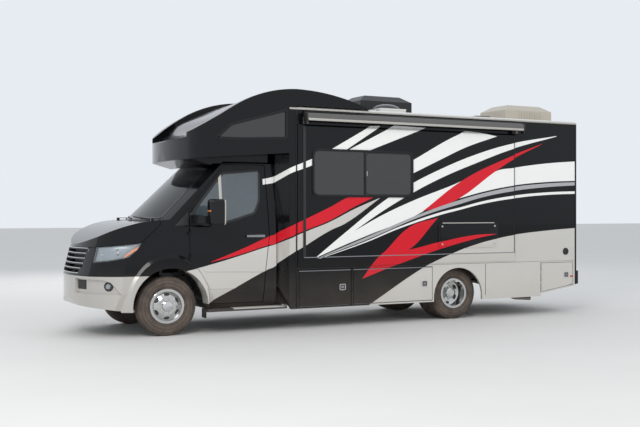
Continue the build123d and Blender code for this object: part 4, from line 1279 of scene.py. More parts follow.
@dataclass
class CabDoors:
    """Seals, sail panels, dividers, handles, ribs and mirror parts of both cab doors."""

    glass: tuple[Point, ...] = ((0.46, 1.425), (0.33, 1.6), (0.755, 2.115), (1.279, 2.165), (1.257, 1.746),
                                (1.184, 1.581), (0.77, 1.454))
    sail: tuple[Point, ...] = ((0.292, 1.435), (0.292, 1.575), (0.325, 1.60), (0.452, 1.432))
    corner_trim: tuple[Point, ...] = ((0.085, 1.42), (0.268, 1.43), (0.268, 1.60))
    divider: tuple[Point, ...] = ((0.697, 1.462), (0.736, 1.458), (0.736, 2.10), (0.697, 2.05))
    bar: tuple[Point, ...] = ((1.045, 1.262), (1.308, 1.258), (1.308, 1.294), (1.045, 1.29))
    upper_rib: tuple[Point, ...] = ((0.475, 0.816), (0.475, 0.840), (1.322, 0.815), (1.322, 0.791))
    lower_rib: tuple[Point, ...] = ((0.56, 0.582), (0.56, 0.604), (1.305, 0.600), (1.305, 0.578))
    mirror_rear: float = 0.640
    mirror_inner: float = 1.19
    mirror_outer: float = 1.37
    mirror_low: float = 1.43
    mirror_high: float = 1.765

    def glazing(self, word: str, side: int) -> list[Piece]:
        """The seal round the glass, the divider and the black sail panel ahead of it.

        Args:
            word: the side's name.
            side: -1 on the left.

        Returns:
            The pieces.
        """
        body = f"door_{word}"
        seal = Maker().rim(placed(soften(grown(self.glass, 0.012), 0.04)), "Y", -0.004, 0.004, 0.030)
        seal.prism(placed(self.sail), "Y", -0.003, 0.003)
        seal.lay(CAB.onto_flank(side))
        corner = Maker().prism(placed(self.corner_trim), "Y", -0.003, 0.004).lay(CAB.onto_flank(side))
        divider = Maker().prism(placed(self.divider), "Y", -0.004, 0.006).lay(CAB.onto_flank(side))
        return [seal.piece(f"door_seal_{word}", Look.PLASTIC, body),
                corner.piece(f"corner_trim_{word}", Look.PLASTIC),
                divider.piece(f"quarter_divider_{word}", Look.ALUMINIUM, body)]

    def hardware(self, word: str, side: int) -> list[Piece]:
        """The handle with its posts, the scoop behind it and the pressed ribs.

        Args:
            word: the side's name.
            side: -1 on the left.

        Returns:
            The pieces.
        """
        body = f"door_{word}"
        scoop = Maker().prism(panel(1.05, 1.30, 1.235, 1.315, 0.035), "Y", -0.002, 0.0025)
        scoop.lay(CAB.onto_flank(side))
        handle = Maker().prism(placed(soften(self.bar, 0.015)), "Y", 0.028, 0.044, 0.005)
        for start in (1.05, 1.275):
            handle.prism(panel(start, start + 0.028, 1.266, 1.286), "Y", -0.002, 0.032)
        handle.lay(CAB.onto_flank(side))
        ribs = Maker()
        for rib in (self.upper_rib, self.lower_rib):
            ribs.prism(placed(rib), "Y", -0.002, 0.009, 0.004)
        ribs.slice("X", 0.2).lay(CAB.onto_flank(side))
        return [scoop.piece(f"handle_scoop_{word}", Look.GLOSS_BLACK, body),
                handle.piece(f"door_handle_{word}", Look.DARK_CHROME, body),
                ribs.piece(f"door_ribs_{word}", Special.COACHWORK, body)]

    def mirror(self, word: str, side: int) -> list[Piece]:
        """The mirror's glass, its bright rear rim and the amber repeater.

        Args:
            word: the side's name.
            side: -1 on the left.

        Returns:
            The pieces.
        """
        body = f"door_{word}"
        x = station(self.mirror_rear)

        def face(inset: float, low: float, high: float) -> list[Point]:
            """An outline on the mirror's rear face."""
            near, far = from_centre(side, self.mirror_inner + inset, self.mirror_outer - inset)
            return oblong(near, far, low, high, 0.045)

        bottom, top = self.mirror_low, self.mirror_high
        rim = Maker().rim(face(0.0, bottom, top), "X", x - 0.018, x, 0.014, 0.004)
        glass = Maker().prism(face(0.018, bottom + 0.10, top - 0.02), "X", x - 0.004, x + 0.002)
        glass.prism(face(0.018, bottom + 0.02, bottom + 0.085), "X", x - 0.004, x + 0.002)
        low, high = from_centre(side, 1.22, 1.35)
        lamp = Maker().box((station(0.437), low, 1.600), (station(0.446), high, 1.622), 0.004)
        return [rim.piece(f"mirror_rim_{word}", Look.ALUMINIUM, body),
                glass.piece(f"mirror_glass_{word}", Look.MIRROR, body),
                lamp.piece(f"mirror_repeater_{word}", Look.AMBER_LENS, body)]

    def build(self) -> list[Piece]:
        """Make the trim of both doors.

        Returns:
            The pieces.
        """
        made = []
        for word, side in SIDES:
            made += self.glazing(word, side) + self.hardware(word, side) + self.mirror(word, side)
        return made


@dataclass
class CabFront:
    """Lamps, grille brightwork, pocket mesh that partly stands for painted shade, fog lamps, windscreen seal,
    cowl vent and wipers.
    """

    lamp: tuple[Point, ...] = ((-0.905, 0.965), (-0.905, 1.125), (-0.86, 1.140), (-0.352, 1.196),
                               (-0.40, 1.121), (-0.516, 1.031), (-0.684, 0.991))
    amber: tuple[Point, ...] = ((-0.56, 1.015), (-0.405, 1.115), (-0.372, 1.165), (-0.42, 1.145),
                                (-0.55, 1.05))
    fog_place: Point3 = (-0.752, 0.0, 0.660)
    screen: tuple[Point, ...] = ((-0.80, 1.506), (0.80, 1.506), (0.70, 2.205), (-0.70, 2.205))
    grille_low: float = 0.812
    grille_pitch: float = 0.0636
    grille_halves: tuple[float, ...] = (0.415, 0.462, 0.496, 0.506, 0.516, 0.530)
    eyes: tuple[Point3, ...] = ((-0.80, 1.055, 0.050), (-0.665, 1.085, 0.046))

    def headlamps(self) -> list[Piece]:
        """The bowls, reflectors and amber lamps inside the clear lenses.

        Returns:
            The pieces.
        """
        made = []
        for word, side in SIDES:
            bowl = Maker().prism(placed(grown(self.lamp, -0.004)), "Y", -0.048, -0.040)
            bowl.slice("X", 0.06).lay(CAB.onto_flank(side))
            made.append(bowl.piece(f"lamp_bowl_{word}", Look.REFLECTOR))
            aim = Vector((-0.80, side * 0.60, 0.0)).to_track_quat("Z", "Y").to_matrix()
            eyes = Maker()
            for x, z, radius in self.eyes:
                spot = Vector((station(x) + 0.028, side * (CAB.flank(x, z) - 0.030), z))
                for wide, ahead in ((radius, 0.0), (radius * 0.62, 0.008)):
                    eyes.cone(spot + aim @ Vector((0.0, 0.0, ahead)), aim, (wide, wide * 0.72), 0.020, 24)
            made.append(eyes.piece(f"lamp_eyes_{word}", Look.CHROME))
            signal = Maker().prism(placed(self.amber), "Y", -0.020, -0.002, 0.004).slice("X", 0.06)
            signal.lay(CAB.onto_flank(side))
            made.append(signal.piece(f"lamp_amber_{word}", Look.AMBER_LENS))
        return made

    def brightwork(self) -> list[Piece]:
        """Bright edges on the grille's bars.

        Returns:
            The pieces.
        """
        maker = Maker()
        for number, half in enumerate(self.grille_halves):
            z = self.grille_low + self.grille_pitch * number
            maker.box((-0.0025, -half, z + 0.002), (0.004, half, z + 0.011), 0.002)
        maker.slice("Y", 0.06).lay(CAB.onto_nose)
        return [maker.piece("grille_brightwork", Look.CHROME)]

    def pockets(self) -> list[Piece]:
        """A dark mesh panel in the front of each bumper pocket, with its bars; it is partly an insert and
        partly a dark sheet painting the shade in the pocket.

        Returns:
            The pieces.
        """
        made = []
        for word, side in SIDES:
            low, high = from_centre(side, 0.365, 0.585)
            # The dark panel stands partly for a mesh insert and partly for painted shade deep in the pocket.
            mesh = Maker().prism(oblong(low, high, 0.615, 0.735, 0.012), "X", 0.033, 0.037)
            for row in range(4):
                z = 0.632 + row * 0.026
                mesh.box((0.026, low + 0.01, z), (0.035, high - 0.01, z + 0.009), 0.002)
            mesh.slice("Y", 0.05).lay(CAB.onto_nose)
            made.append(mesh.piece(f"pocket_shade_mesh_{word}", Look.PLASTIC))
        return made

    def fog_lamps(self) -> list[Piece]:
        """A round lamp with its bezel in each front corner of the bumper.

        Returns:
            The pieces.
        """
        made = []
        for word, side in SIDES:
            x, _, z = self.fog_place
            aim = Vector((-0.72, side * 0.69, 0.0)).to_track_quat("Z", "Y").to_matrix()
            spot = Vector((station(x), side * CAB.flank(x, z), z)) - aim @ Vector((0.0, 0.0, 0.030))
            lens = Maker().cone(spot + aim @ Vector((0.0, 0.0, 0.008)), aim, (0.040, 0.030), 0.018, 28)
            made.append(lens.piece(f"fog_lens_{word}", Look.LENS_BRIGHT))
            bezel = Maker().ring((0.0, 0.0, 0.0), "Z", [(-0.012, 0.060), (0.004, 0.060), (0.014, 0.050),
                                                        (0.006, 0.041), (-0.012, 0.041)])
            bezel.move(bezel.mesh.verts, spot, aim)
            made.append(bezel.piece(f"fog_bezel_{word}", Look.PLASTIC))
        return made

    def windscreen(self) -> list[Piece]:
        """The black band and seal round the screen, the cowl vent and both wipers.

        Returns:
            The pieces.
        """
        seal = Maker().rim(soften(grown(self.screen, 0.012), 0.06), "X", -0.004, 0.004, 0.038)
        seal.slice("Y", 0.1).slice("Z", 0.15).lay(CAB.onto_screen)
        wipers = Maker()
        for pivot, tip in ((-0.62, 0.02), (0.02, 0.66)):
            root = CAB.onto_screen(Vector((-0.004, pivot, 1.496)))
            knee = CAB.onto_screen(Vector((-0.016, pivot + 0.10, 1.512)))
            end = CAB.onto_screen(Vector((-0.016, (pivot + tip) / 2 + 0.04, 1.524)))
            wipers.tube([root, knee, end], 0.006)
            reach = (tip - pivot) / 4
            blade = [Vector((-0.010, pivot + 0.06 + reach * k, 1.514 + 0.006 * k)) for k in range(5)]
            wipers.tube([CAB.onto_screen(spot) for spot in blade], 0.005)
        cowl = Maker()
        for number in range(22):
            y = -0.735 + number * 0.07
            cowl.box((-0.004, y - 0.026, 1.486), (0.003, y + 0.026, 1.492), 0.001)
        cowl.lay(CAB.onto_screen)
        return [seal.piece("windscreen_seal", Look.GLOSS_BLACK), wipers.piece("wipers", Look.PLASTIC),
                cowl.piece("cowl_vent", Look.PLASTIC)]

    def build(self) -> list[Piece]:
        """Make the cab's front."""
        return self.headlamps() + self.brightwork() + self.fog_lamps() + self.windscreen() + self.pockets()


@dataclass
class Seats:
    """Two padded cab seats in place of the plain ones, and their plastic bases."""

    seat_y: float = 0.44
    cap: float = 0.016
    voxel: float = 0.006
    pressure: float = 4.0
    frames: int = 14

    def pad(self, name: str, rows: Sequence[tuple[Point3, Point]], pinch: float) -> Piece:
        """One padded form, lofted through rows and blown up by cloth simulation.

        Args:
            name: the piece's name.
            rows: the middle of each row and its half width and half thickness.
            pinch: how far the ends draw in.

        Returns:
            The pad.
        """
        maker = Maker()
        last = None
        points = [Vector(middle) for middle, _ in rows]
        for number, (middle, (half, thick)) in enumerate(rows):
            ahead = points[min(number + 1, len(points) - 1)] - points[max(number - 1, 0)]
            side = Vector((0, 1, 0))
            turn = Matrix((side, ahead.cross(side).normalized(), ahead.normalized()))
            ends = number in (0, len(rows) - 1)
            corners = soften([(-half, -thick), (half, -thick), (half, thick), (-half, thick)],
                             min(half, thick) * 0.9)
            scale = 1.0 - pinch if ends else 1.0
            spots = [turn.transposed() @ Vector((u * scale, v * scale, 0)) for u, v in corners]
            verts = [maker.mesh.verts.new(points[number] + spot) for spot in spots]
            loop = [maker.mesh.edges.new((verts[k - 1], verts[k])) for k in range(len(verts))]
            if ends:
                maker.mesh.faces.new(verts)
            if last:
                bmesh.ops.bridge_loops(maker.mesh, edges=last + loop)
            last = loop
        return self.puff(maker.piece(name, Special.CLOTH, "body", sharp=180))

    def puff(self, made: Piece) -> Piece:
        """Blow a closed form up as cloth, hold it within its cap and smooth it.

        Args:
            made: the closed form.

        Returns:
            The same piece.
        """
        scene = bpy.context.scene
        bpy.context.view_layer.objects.active = made
        remesh = made.modifiers.new("even_mesh", "REMESH")
        remesh.mode = "VOXEL"
        remesh.voxel_size = self.voxel * 1.0
        self.settle(made)
        rest = [vert.co.copy() for vert in made.data.vertices]
        cloth = made.modifiers.new("padding", "CLOTH")
        cloth.settings.use_pressure = True
        cloth.settings.uniform_pressure_force = self.pressure
        cloth.settings.effector_weights.gravity = 0.0
        for number in range(1, self.frames + 1):
            scene.frame_set(number)
        self.settle(made)
        scene.frame_set(1)
        for vert, start in zip(made.data.vertices, rest):
            step = vert.co - start
            if step.length > self.cap:
                vert.co = start + step.normalized() * self.cap
        made.data.polygons.foreach_set("use_smooth", [True] * len(made.data.polygons))
        return made

    def settle(self, made: Piece) -> None:
        """Apply a piece's modifiers to its mesh.

        Args:
            made: the piece.
        """
        graph = bpy.context.evaluated_depsgraph_get()
        data = bpy.data.meshes.new_from_object(made.evaluated_get(graph))
        made.modifiers.clear()
        made.data = data

    def build(self) -> list[Piece]:
        """Make both seats.

        Returns:
            The pieces.
        """
        made = []
        for word, side in SIDES:
            y = side * self.seat_y
            cushion = self.pad(f"seat_cushion_{word}", [
                ((station(0.715), y, 1.125), (0.235, 0.052)), ((station(0.80), y, 1.145), (0.245, 0.062)),
                ((station(1.00), y, 1.135), (0.240, 0.060)), ((station(1.20), y, 1.125), (0.230, 0.058)),
                ((station(1.265), y, 1.125), (0.215, 0.050))], 0.08)
            back = self.pad(f"seat_back_{word}", [
                ((station(1.245), y, 1.215), (0.215, 0.045)), ((station(1.262), y, 1.30), (0.235, 0.055)),
                ((station(1.300), y, 1.50), (0.240, 0.058)), ((station(1.345), y, 1.70), (0.225, 0.052)),
                ((station(1.370), y, 1.825), (0.180, 0.040))], 0.10)
            head = self.pad(f"seat_headrest_{word}", [
                ((station(1.372), y, 1.845), (0.105, 0.030)), ((station(1.385), y, 1.90), (0.118, 0.036)),
                ((station(1.398), y, 1.985), (0.105, 0.030))], 0.12)
            for pad in (cushion, back, head):
                made.append(pad)
            base = Maker().box((station(0.77), y - 0.19, 0.785), (station(1.21), y + 0.19, 1.05), 0.02)
            base.box((station(0.74), y - 0.225, 1.03), (station(1.24), y + 0.225, 1.075), 0.015)
            base.cylinder((station(1.368), y - 0.05, 1.84), "Z", 0.007, 0.06)
            base.cylinder((station(1.368), y + 0.05, 1.84), "Z", 0.007, 0.06)
            made.append(base.piece(f"seat_base_{word}", Look.PLASTIC))
        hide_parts("cab_seats")
        return made


# Coach


def latch(name: str, body: str, side: int, x: float, z: float) -> list[Piece]:
    """A square paddle latch: a bright rim round a dark dish with its paddle.

    Args:
        name: the end of the pieces' names.
        body: the door's body.
        side: -1 on the left.
        x: its station.
        z: its height.

    Returns:
        The pieces.
    """
    skin = side * COACH_SKIN
    sunk, low, high = skin - side * 0.002, skin + side * 0.003, skin + side * 0.008
    rim = Maker().rim(panel(x - 0.047, x + 0.047, z - 0.043, z + 0.043, 0.02), "Y", sunk, high, 0.010, 0.003)
    dish = Maker().prism(panel(x - 0.039, x + 0.039, z - 0.035, z + 0.035, 0.015), "Y", sunk, low)
    paddle = Maker().prism(panel(x - 0.024, x + 0.026, z - 0.020, z + 0.018, 0.012), "Y", skin + side * 0.002,
                           high, 0.003)
    paddle.cylinder((station(x), high, z + 0.003), "Y", 0.008, 0.004, bevel=0.001)
    return [rim.piece(f"latch_rim_{name}", Look.CHROME, body),
            dish.piece(f"latch_dish_{name}", Look.PLASTIC, body),
            paddle.piece(f"latch_paddle_{name}", Look.DARK_CHROME, body)]


@dataclass
class CoachLeft:
    """The driver's side with the slide-out's fittings, and the trim that runs along both sides."""

    skin: float = -COACH_SKIN
    fascia: float = -1.2103
    cap_window: tuple[Point, ...] = ((0.601, 2.572), (0.785, 2.742), (1.553, 2.960), (1.553, 2.601),
                                     (0.902, 2.570))
    slide_window: tuple[float, ...] = (1.936, 3.486, 1.824, 2.445)
    hatch: tuple[float, ...] = (3.926, 4.984, 1.064, 1.462)
    latches: tuple[tuple[str, float, float], ...] = (
        ("baggage_door_front", 2.397, 0.557), ("baggage_door_middle", 3.722, 0.558),
        ("baggage_door_rear", 6.331, 0.607))

    def windows(self) -> list[Piece]:
        """The slide-out's framed window with its sliding half, and the frames of the cap's windows.

        Returns:
            The pieces.
        """
        front, rear, bottom, top = self.slide_window
        y = self.fascia - 0.004
        outer = panel(front - 0.02, rear + 0.02, bottom - 0.02, top + 0.02, 0.11)
        frame_ring = Maker().rim(outer, "Y", y + 0.006, y - 0.012, 0.032, 0.003)
        frame_ring.box((station(2.708), y - 0.008, bottom + 0.005), (station(2.736), y + 0.004, top - 0.005),
                       0.003)
        inner = panel(2.730, rear - 0.004, bottom + 0.008, top - 0.008, 0.08)
        sash = Maker().rim(inner, "Y", y + 0.002, y - 0.006, 0.018, 0.002)
        catch = Maker().box((station(2.748), y - 0.012, 2.10), (station(2.760), y - 0.004, 2.17), 0.003)
        made = [frame_ring.piece("slide_window_frame", Look.GLOSS_BLACK, "slide_room"),
                sash.piece("slide_window_sash", Look.PLASTIC, "slide_room"),
                catch.piece("slide_window_catch", Look.ALUMINIUM, "slide_room")]
        for word, side in SIDES:
            outline = placed(soften(grown(self.cap_window, 0.016), 0.05))
            ring = Maker().rim(outline, "Y", side * 1.164, side * 1.176, 0.026, 0.003)
            made.append(ring.piece(f"cap_window_frame_{word}", Look.GLOSS_BLACK))
            outline = placed(soften(grown(self.cap_window, 0.020), 0.05))
            bead = Maker().rim(outline, "Y", side * 1.166, side * 1.1725, 0.005, 0.001)
            made.append(bead.piece(f"cap_window_bead_{word}", Look.PLASTIC))
        return made

    def service_hatch(self) -> list[Piece]:
        """The rounded service hatch low on the slide-out.

        Returns:
            The pieces.
        """
        front, rear, bottom, top = self.hatch
        y = self.fascia
        door = Maker().prism(panel(front, rear, bottom, top, 0.09), "Y", y + 0.004, y - 0.012, 0.005)
        raised = panel(front + 0.03, rear - 0.03, bottom + 0.03, top - 0.05, 0.07)
        door.prism(raised, "Y", y - 0.010, y - 0.017, 0.004)
        bead = Maker().box((station(front + 0.07), y - 0.020, top - 0.034),
                           (station(rear - 0.07), y - 0.008, top - 0.020), 0.003)
        for x in (front + 0.065, rear - 0.065):
            for z in (top - 0.075, bottom + 0.06):
                bead.cylinder((station(x), y - 0.018, z), "Y", 0.014, 0.012)
        return [door.piece("service_hatch", Special.COACHWORK, "slide_room"),
                bead.piece("service_hatch_fittings", Look.ALUMINIUM, "slide_room")]

    def slide_seals(self) -> list[Piece]:
        """The seal behind the fascia, the fascia's dark edge and seam, and the bright line along its sill.

        Returns:
            The pieces.
        """
        seal = Maker().rim(panel(1.719, 5.326, 0.852, 2.788), "Y", self.skin - 0.001, self.skin - 0.012, 0.03,
                           0.002)
        out, back = self.fascia - 0.0032, self.fascia + 0.0008
        edge = Maker().box((station(1.786), out, 0.985), (station(1.826), back, 2.76), 0.0015)
        seam = Maker().box((station(5.290), out + 0.001, 0.985), (station(5.302), back, 2.76), 0.0015)
        sill = Maker().box((station(1.80), out, 0.974), (station(5.31), back, 0.986), 0.0015)
        return [seal.piece("slide_seal", Look.PLASTIC, "slide_room"),
                edge.piece("slide_edge", Look.PLASTIC, "slide_room"),
                seam.piece("slide_seam", Look.GLOSS_BLACK, "slide_room"),
                sill.piece("slide_sill_edge", Look.DARK_CHROME, "slide_room")]

    def door_edges(self) -> list[Piece]:
        """Thin bright top edges of the two baggage doors under the slide-out.

        Returns:
            The pieces.
        """
        made = []
        for body in ("baggage_door_front", "baggage_door_middle"):
            low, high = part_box(body)
            edge = Maker().box((low[0] + 0.002, self.skin - 0.0025, high[2] - 0.012),
                               (high[0] - 0.002, self.skin + 0.002, high[2] - 0.002), 0.001)
            made.append(edge.piece(f"{body}_edge", Look.DARK_CHROME, body))
        return made

    def fittings(self) -> list[Piece]:
        """Latches, the round inlet, skirt seams, corner strips, the gutter, reflectors and door edges.

        Returns:
            The pieces.
        """
        made = []
        for number, (body, x, z) in enumerate(self.latches):
            made += latch(f"{number}", body, -1, x, z)
        inlet = Maker().ring((station(6.321), self.skin, 0.975), "Y", [
            (0.002, 0.055), (-0.006, 0.055), (-0.012, 0.048), (-0.012, 0.040), (0.002, 0.040)])
        inlet.cylinder((station(6.321), self.skin - 0.004, 0.975), "Y", 0.038, 0.012)
        made.append(inlet.piece("power_inlet", Look.PLASTIC))
        strips = Maker()
        for x in (4.792, 5.829):
            strips.box((station(x) - 0.0035, self.skin - 0.0012, 0.345),
                       (station(x) + 0.0035, self.skin + 0.001, 0.815), 0.0005)
        strips.both((1.695, 1.712), (1.1695, 1.1745), (0.30, 2.985), 0.002)
        strips.both((6.505, 6.535), (1.1695, 1.1745), (0.45, 2.985), 0.002)
        made.append(strips.piece("body_strips", Look.GLOSS_BLACK))
        gutter = Maker().both((1.60, 6.53), (1.164, 1.182), (2.985, 2.998), 0.003)
        gutter.both((1.60, 6.53), (1.176, 1.182), (2.985, 3.010), 0.002)
        made.append(gutter.piece("roof_gutter", Look.ALUMINIUM))
        reflectors = Maker().both((6.41, 6.47), (1.169, 1.176), (0.565, 0.590), 0.003)
        made.append(reflectors.piece("side_reflectors", Look.RED_LENS))
        return made + self.door_edges()

    def topper(self) -> list[Piece]:
        """The roller casing over the slide-out, its end caps and its light valance.

        Returns:
            The pieces.
        """
        x0, x1 = station(1.79), station(5.43)
        profile = [(-1.312, 2.850), (-1.312, 2.912), (-1.296, 2.936), (-1.262, 2.944), (-1.226, 2.936),
                   (-1.214, 2.914), (-1.222, 2.910), (-1.232, 2.926), (-1.262, 2.932), (-1.290, 2.926),
                   (-1.302, 2.906), (-1.302, 2.850)]
        shell = Maker().prism(profile, "X", x0 + 0.02, x1 - 0.02, 0.0)
        valance = Maker().box((x0 + 0.03, -1.3145, 2.836), (x1 - 0.03, -1.3105, 2.868), 0.001)
        ends = Maker()
        for x in (x0, x1 - 0.022):
            ends.prism(oblong(-1.318, -1.206, 2.828, 2.948, 0.03), "X", x, x + 0.022, 0.004)
            ends.prism(oblong(-1.300, -1.222, 2.79, 2.84), "X", x + 0.004, x + 0.018)
        return [shell.piece("topper_casing", Look.GRAPHITE, "slide_room"),
                valance.piece("topper_valance", Look.ALUMINIUM, "slide_room"),
                ends.piece("topper_ends", Look.PLASTIC, "slide_room")]

    def build(self) -> list[Piece]:
        """Make the driver's side."""
        return self.windows() + self.service_hatch() + self.slide_seals() + self.fittings() + self.topper()


@dataclass
class CoachRight:
    """The kerb side: window frames, the entry door's fittings, service panels and the awning's parts."""

    skin: float = COACH_SKIN
    vent_rows: int = 9
    windows: tuple[tuple[str, str, float, float, float, float], ...] = (
        ("dinette", "body", 1.98, 2.70, 1.78, 2.43), ("bedroom", "body", 4.25, 5.35, 1.78, 2.43),
        ("door", "entry_door", 3.12, 3.45, 1.80, 2.45))
    vents: tuple[tuple[float, float, float, float], ...] = (
        (3.80, 4.15, 1.00, 1.42), (4.60, 5.00, 1.00, 1.38))
    rail: tuple[Point3, ...] = (
        (3.80, 1.171, 1.50), (3.80, 1.22, 1.53), (3.80, 1.23, 1.60), (3.80, 1.23, 2.05), (3.80, 1.22, 2.12),
        (3.80, 1.171, 2.15))

    def glazing(self) -> list[Piece]:
        """Frames and sashes of the windows.

        Returns:
            The pieces.
        """
        made = []
        for name, body, front, rear, bottom, top in self.windows:
            ring = Maker().rim(panel(front - 0.022, rear + 0.022, bottom - 0.022, top + 0.022, 0.08), "Y",
                               self.skin - 0.006, self.skin + 0.010, 0.032, 0.003)
            made.append(ring.piece(f"window_frame_{name}", Look.GLOSS_BLACK, body))
            if name != "door":
                middle = (front + rear) / 2
                bar = Maker().box((station(middle) - 0.012, self.skin - 0.008, bottom + 0.004),
                                  (station(middle) + 0.012, self.skin + 0.004, top - 0.004), 0.003)
                made.append(bar.piece(f"window_bar_{name}", Look.PLASTIC, body))
        return made

    def entry(self) -> list[Piece]:
        """The entry door's frame, its handle, the rail beside it and the ribs on the step.

        Returns:
            The pieces.
        """
        frame_ring = Maker().rim(panel(2.925, 3.655, 0.855, 2.775, 0.05), "Y", self.skin - 0.002,
                                 self.skin + 0.006, 0.034, 0.002)
        handle = Maker().box((station(3.53), 1.168, 1.49), (station(3.585), 1.178, 1.66), 0.004)
        handle.box((station(3.535), 1.176, 1.55), (station(3.58), 1.196, 1.585), 0.006)
        handle.cylinder((station(3.557), 1.180, 1.515), "Y", 0.010, 0.012)
        rail = Maker().tube([(station(x), y, z) for x, y, z in self.rail], 0.012)
        for x, y, z in (self.rail[0], self.rail[-1]):
            rail.cylinder((station(x), y + 0.002, z), "Y", 0.026, 0.010)
        tread = Maker()
        for number in range(9):
            x = station(3.03 + number * 0.0625)
            tread.box((x - 0.012, 0.86, 0.529), (x + 0.012, 1.10, 0.534), 0.0015)
        return [frame_ring.piece("entry_frame", Look.GLOSS_BLACK),
                handle.piece("entry_handle", Look.PLASTIC, "entry_door"),
                rail.piece("grab_rail", Look.CHROME), tread.piece("step_ribs", Look.PLASTIC, "entry_step")]

    def service(self) -> list[Piece]:
        """Louvred service panels and the latch of the baggage door.

        Returns:
            The pieces.
        """
        made = []
        for number, (front, rear, bottom, top) in enumerate(self.vents):
            vent = Maker().prism(panel(front, rear, bottom, top, 0.03), "Y", self.skin - 0.002,
                                 self.skin + 0.008)
            for row in range(self.vent_rows):
                z = bottom + 0.05 + (top - bottom - 0.10) * row / (self.vent_rows - 1)
                vent.box((station(front + 0.03), self.skin + 0.006, z - 0.009),
                         (station(rear - 0.03), self.skin + 0.016, z + 0.004), 0.003)
            made.append(vent.piece(f"service_vent_{number}", Look.GLOSS_BLACK))
        return made + latch("right", "baggage_door_right", 1, 2.65, 0.557)

    def awning(self) -> list[Piece]:
        """End caps, the lead rail and the folded arms of the patio awning.

        Returns:
            The pieces.
        """
        parts = Maker()
        for x in (2.29, 5.885):
            parts.prism(oblong(1.166, 1.289, 2.845, 2.965, 0.03), "X", station(x), station(x) + 0.025, 0.004)
        parts.box((station(2.32), 1.284, 2.868), (station(5.88), 1.294, 2.90), 0.004)
        for x in (2.335, 5.865):
            parts.box((station(x) - 0.018, 1.198, 1.27), (station(x) + 0.018, 1.214, 2.85), 0.004)
            parts.box((station(x) - 0.030, 1.168, 1.24), (station(x) + 0.030, 1.216, 1.30), 0.006)
        return [parts.piece("awning_parts", Look.GRAPHITE)]

    def build(self) -> list[Piece]:
        """Make the kerb side."""
        return self.glazing() + self.entry() + self.service() + self.awning()


@dataclass
class CoachRear:
    """Window frame, tail lamps, plate holder with its blank plate, camera, markers and bumper pads."""

    x: float = 6.535
    markers: tuple[float, ...] = (-0.28, -0.14, 0.14, 0.28)
    pads: int = 15
    first_pad: float = -1.02
    pad_pitch: float = 0.1457
    bumper_top: float = 0.66

    def build(self) -> list[Piece]:
        """Make the rear.

        Returns:
            The pieces.
        """
        x = station(self.x)
        window = Maker().rim(oblong(-0.50, 0.50, 1.78, 2.42, 0.05), "X", x - 0.006, x + 0.010, 0.032, 0.003)
        return [window.piece("rear_window_frame", Look.GLOSS_BLACK), *self.lamps(), *self.fittings()]

    def lamps(self) -> list[Piece]:
        """The tail lamps' bezels and their amber and clear parts.

        Returns:
            The pieces.
        """
        x = station(self.x)
        bezels = Maker()
        for _, side in SIDES:
            outline = oblong(*from_centre(side, 0.968, 1.122), 0.888, 1.192, 0.02)
            bezels.rim(outline, "X", x - 0.002, x + 0.026, 0.016, 0.003)
        depth, spread = (self.x + 0.018, self.x + 0.026), (0.985, 1.105)
        ambers = Maker().both(depth, spread, (1.115, 1.170), 0.004)
        clears = Maker().both(depth, spread, (0.905, 0.955), 0.004)
        return [bezels.piece("tail_lamp_bezels", Look.CHROME),
                ambers.piece("tail_lamp_ambers", Look.AMBER_LENS),
                clears.piece("tail_lamp_clears", Look.LENS_BRIGHT)]

    def fittings(self) -> list[Piece]:
        """The plate with its holder, the camera, the markers and the pads on the bumper.

        Returns:
            The pieces.
        """
        x = station(self.x)
        made = []
        plate = Maker().rim(oblong(-0.185, 0.185, 0.93, 1.10, 0.02), "X", x - 0.002, x + 0.014, 0.018, 0.003)
        made.append(plate.piece("plate_holder", Look.PLASTIC))
        blank = Maker().prism(oblong(-0.152, 0.152, 0.945, 1.085, 0.012), "X", x + 0.002, x + 0.006, 0.001)
        made.append(blank.piece("blank_plate", Look.ALUMINIUM))
        camera = Maker().prism(soften([(-0.07, 2.84), (0.07, 2.84), (0.06, 2.90), (-0.06, 2.90)], 0.02), "X",
                               x - 0.002, x + 0.05, 0.008)
        camera.cylinder((x + 0.052, 0.0, 2.868), "X", 0.016, 0.012)
        made.append(camera.piece("rear_camera", Look.PLASTIC))
        lights = Maker()
        for y in self.markers:
            lights.box((x - 0.002, y - 0.045, 2.93), (x + 0.014, y + 0.045, 2.955), 0.005)
        made.append(lights.piece("rear_markers", Look.RED_LENS))
        bumper = Maker()
        top = self.bumper_top
        for number in range(self.pads):
            y = self.first_pad + number * self.pad_pitch
            bumper.box((x + 0.012, y - 0.05, top - 0.002), (x + 0.085, y + 0.05, top + 0.004), 0.0025)
        made.append(bumper.piece("bumper_pads", Look.PLASTIC))
        return made


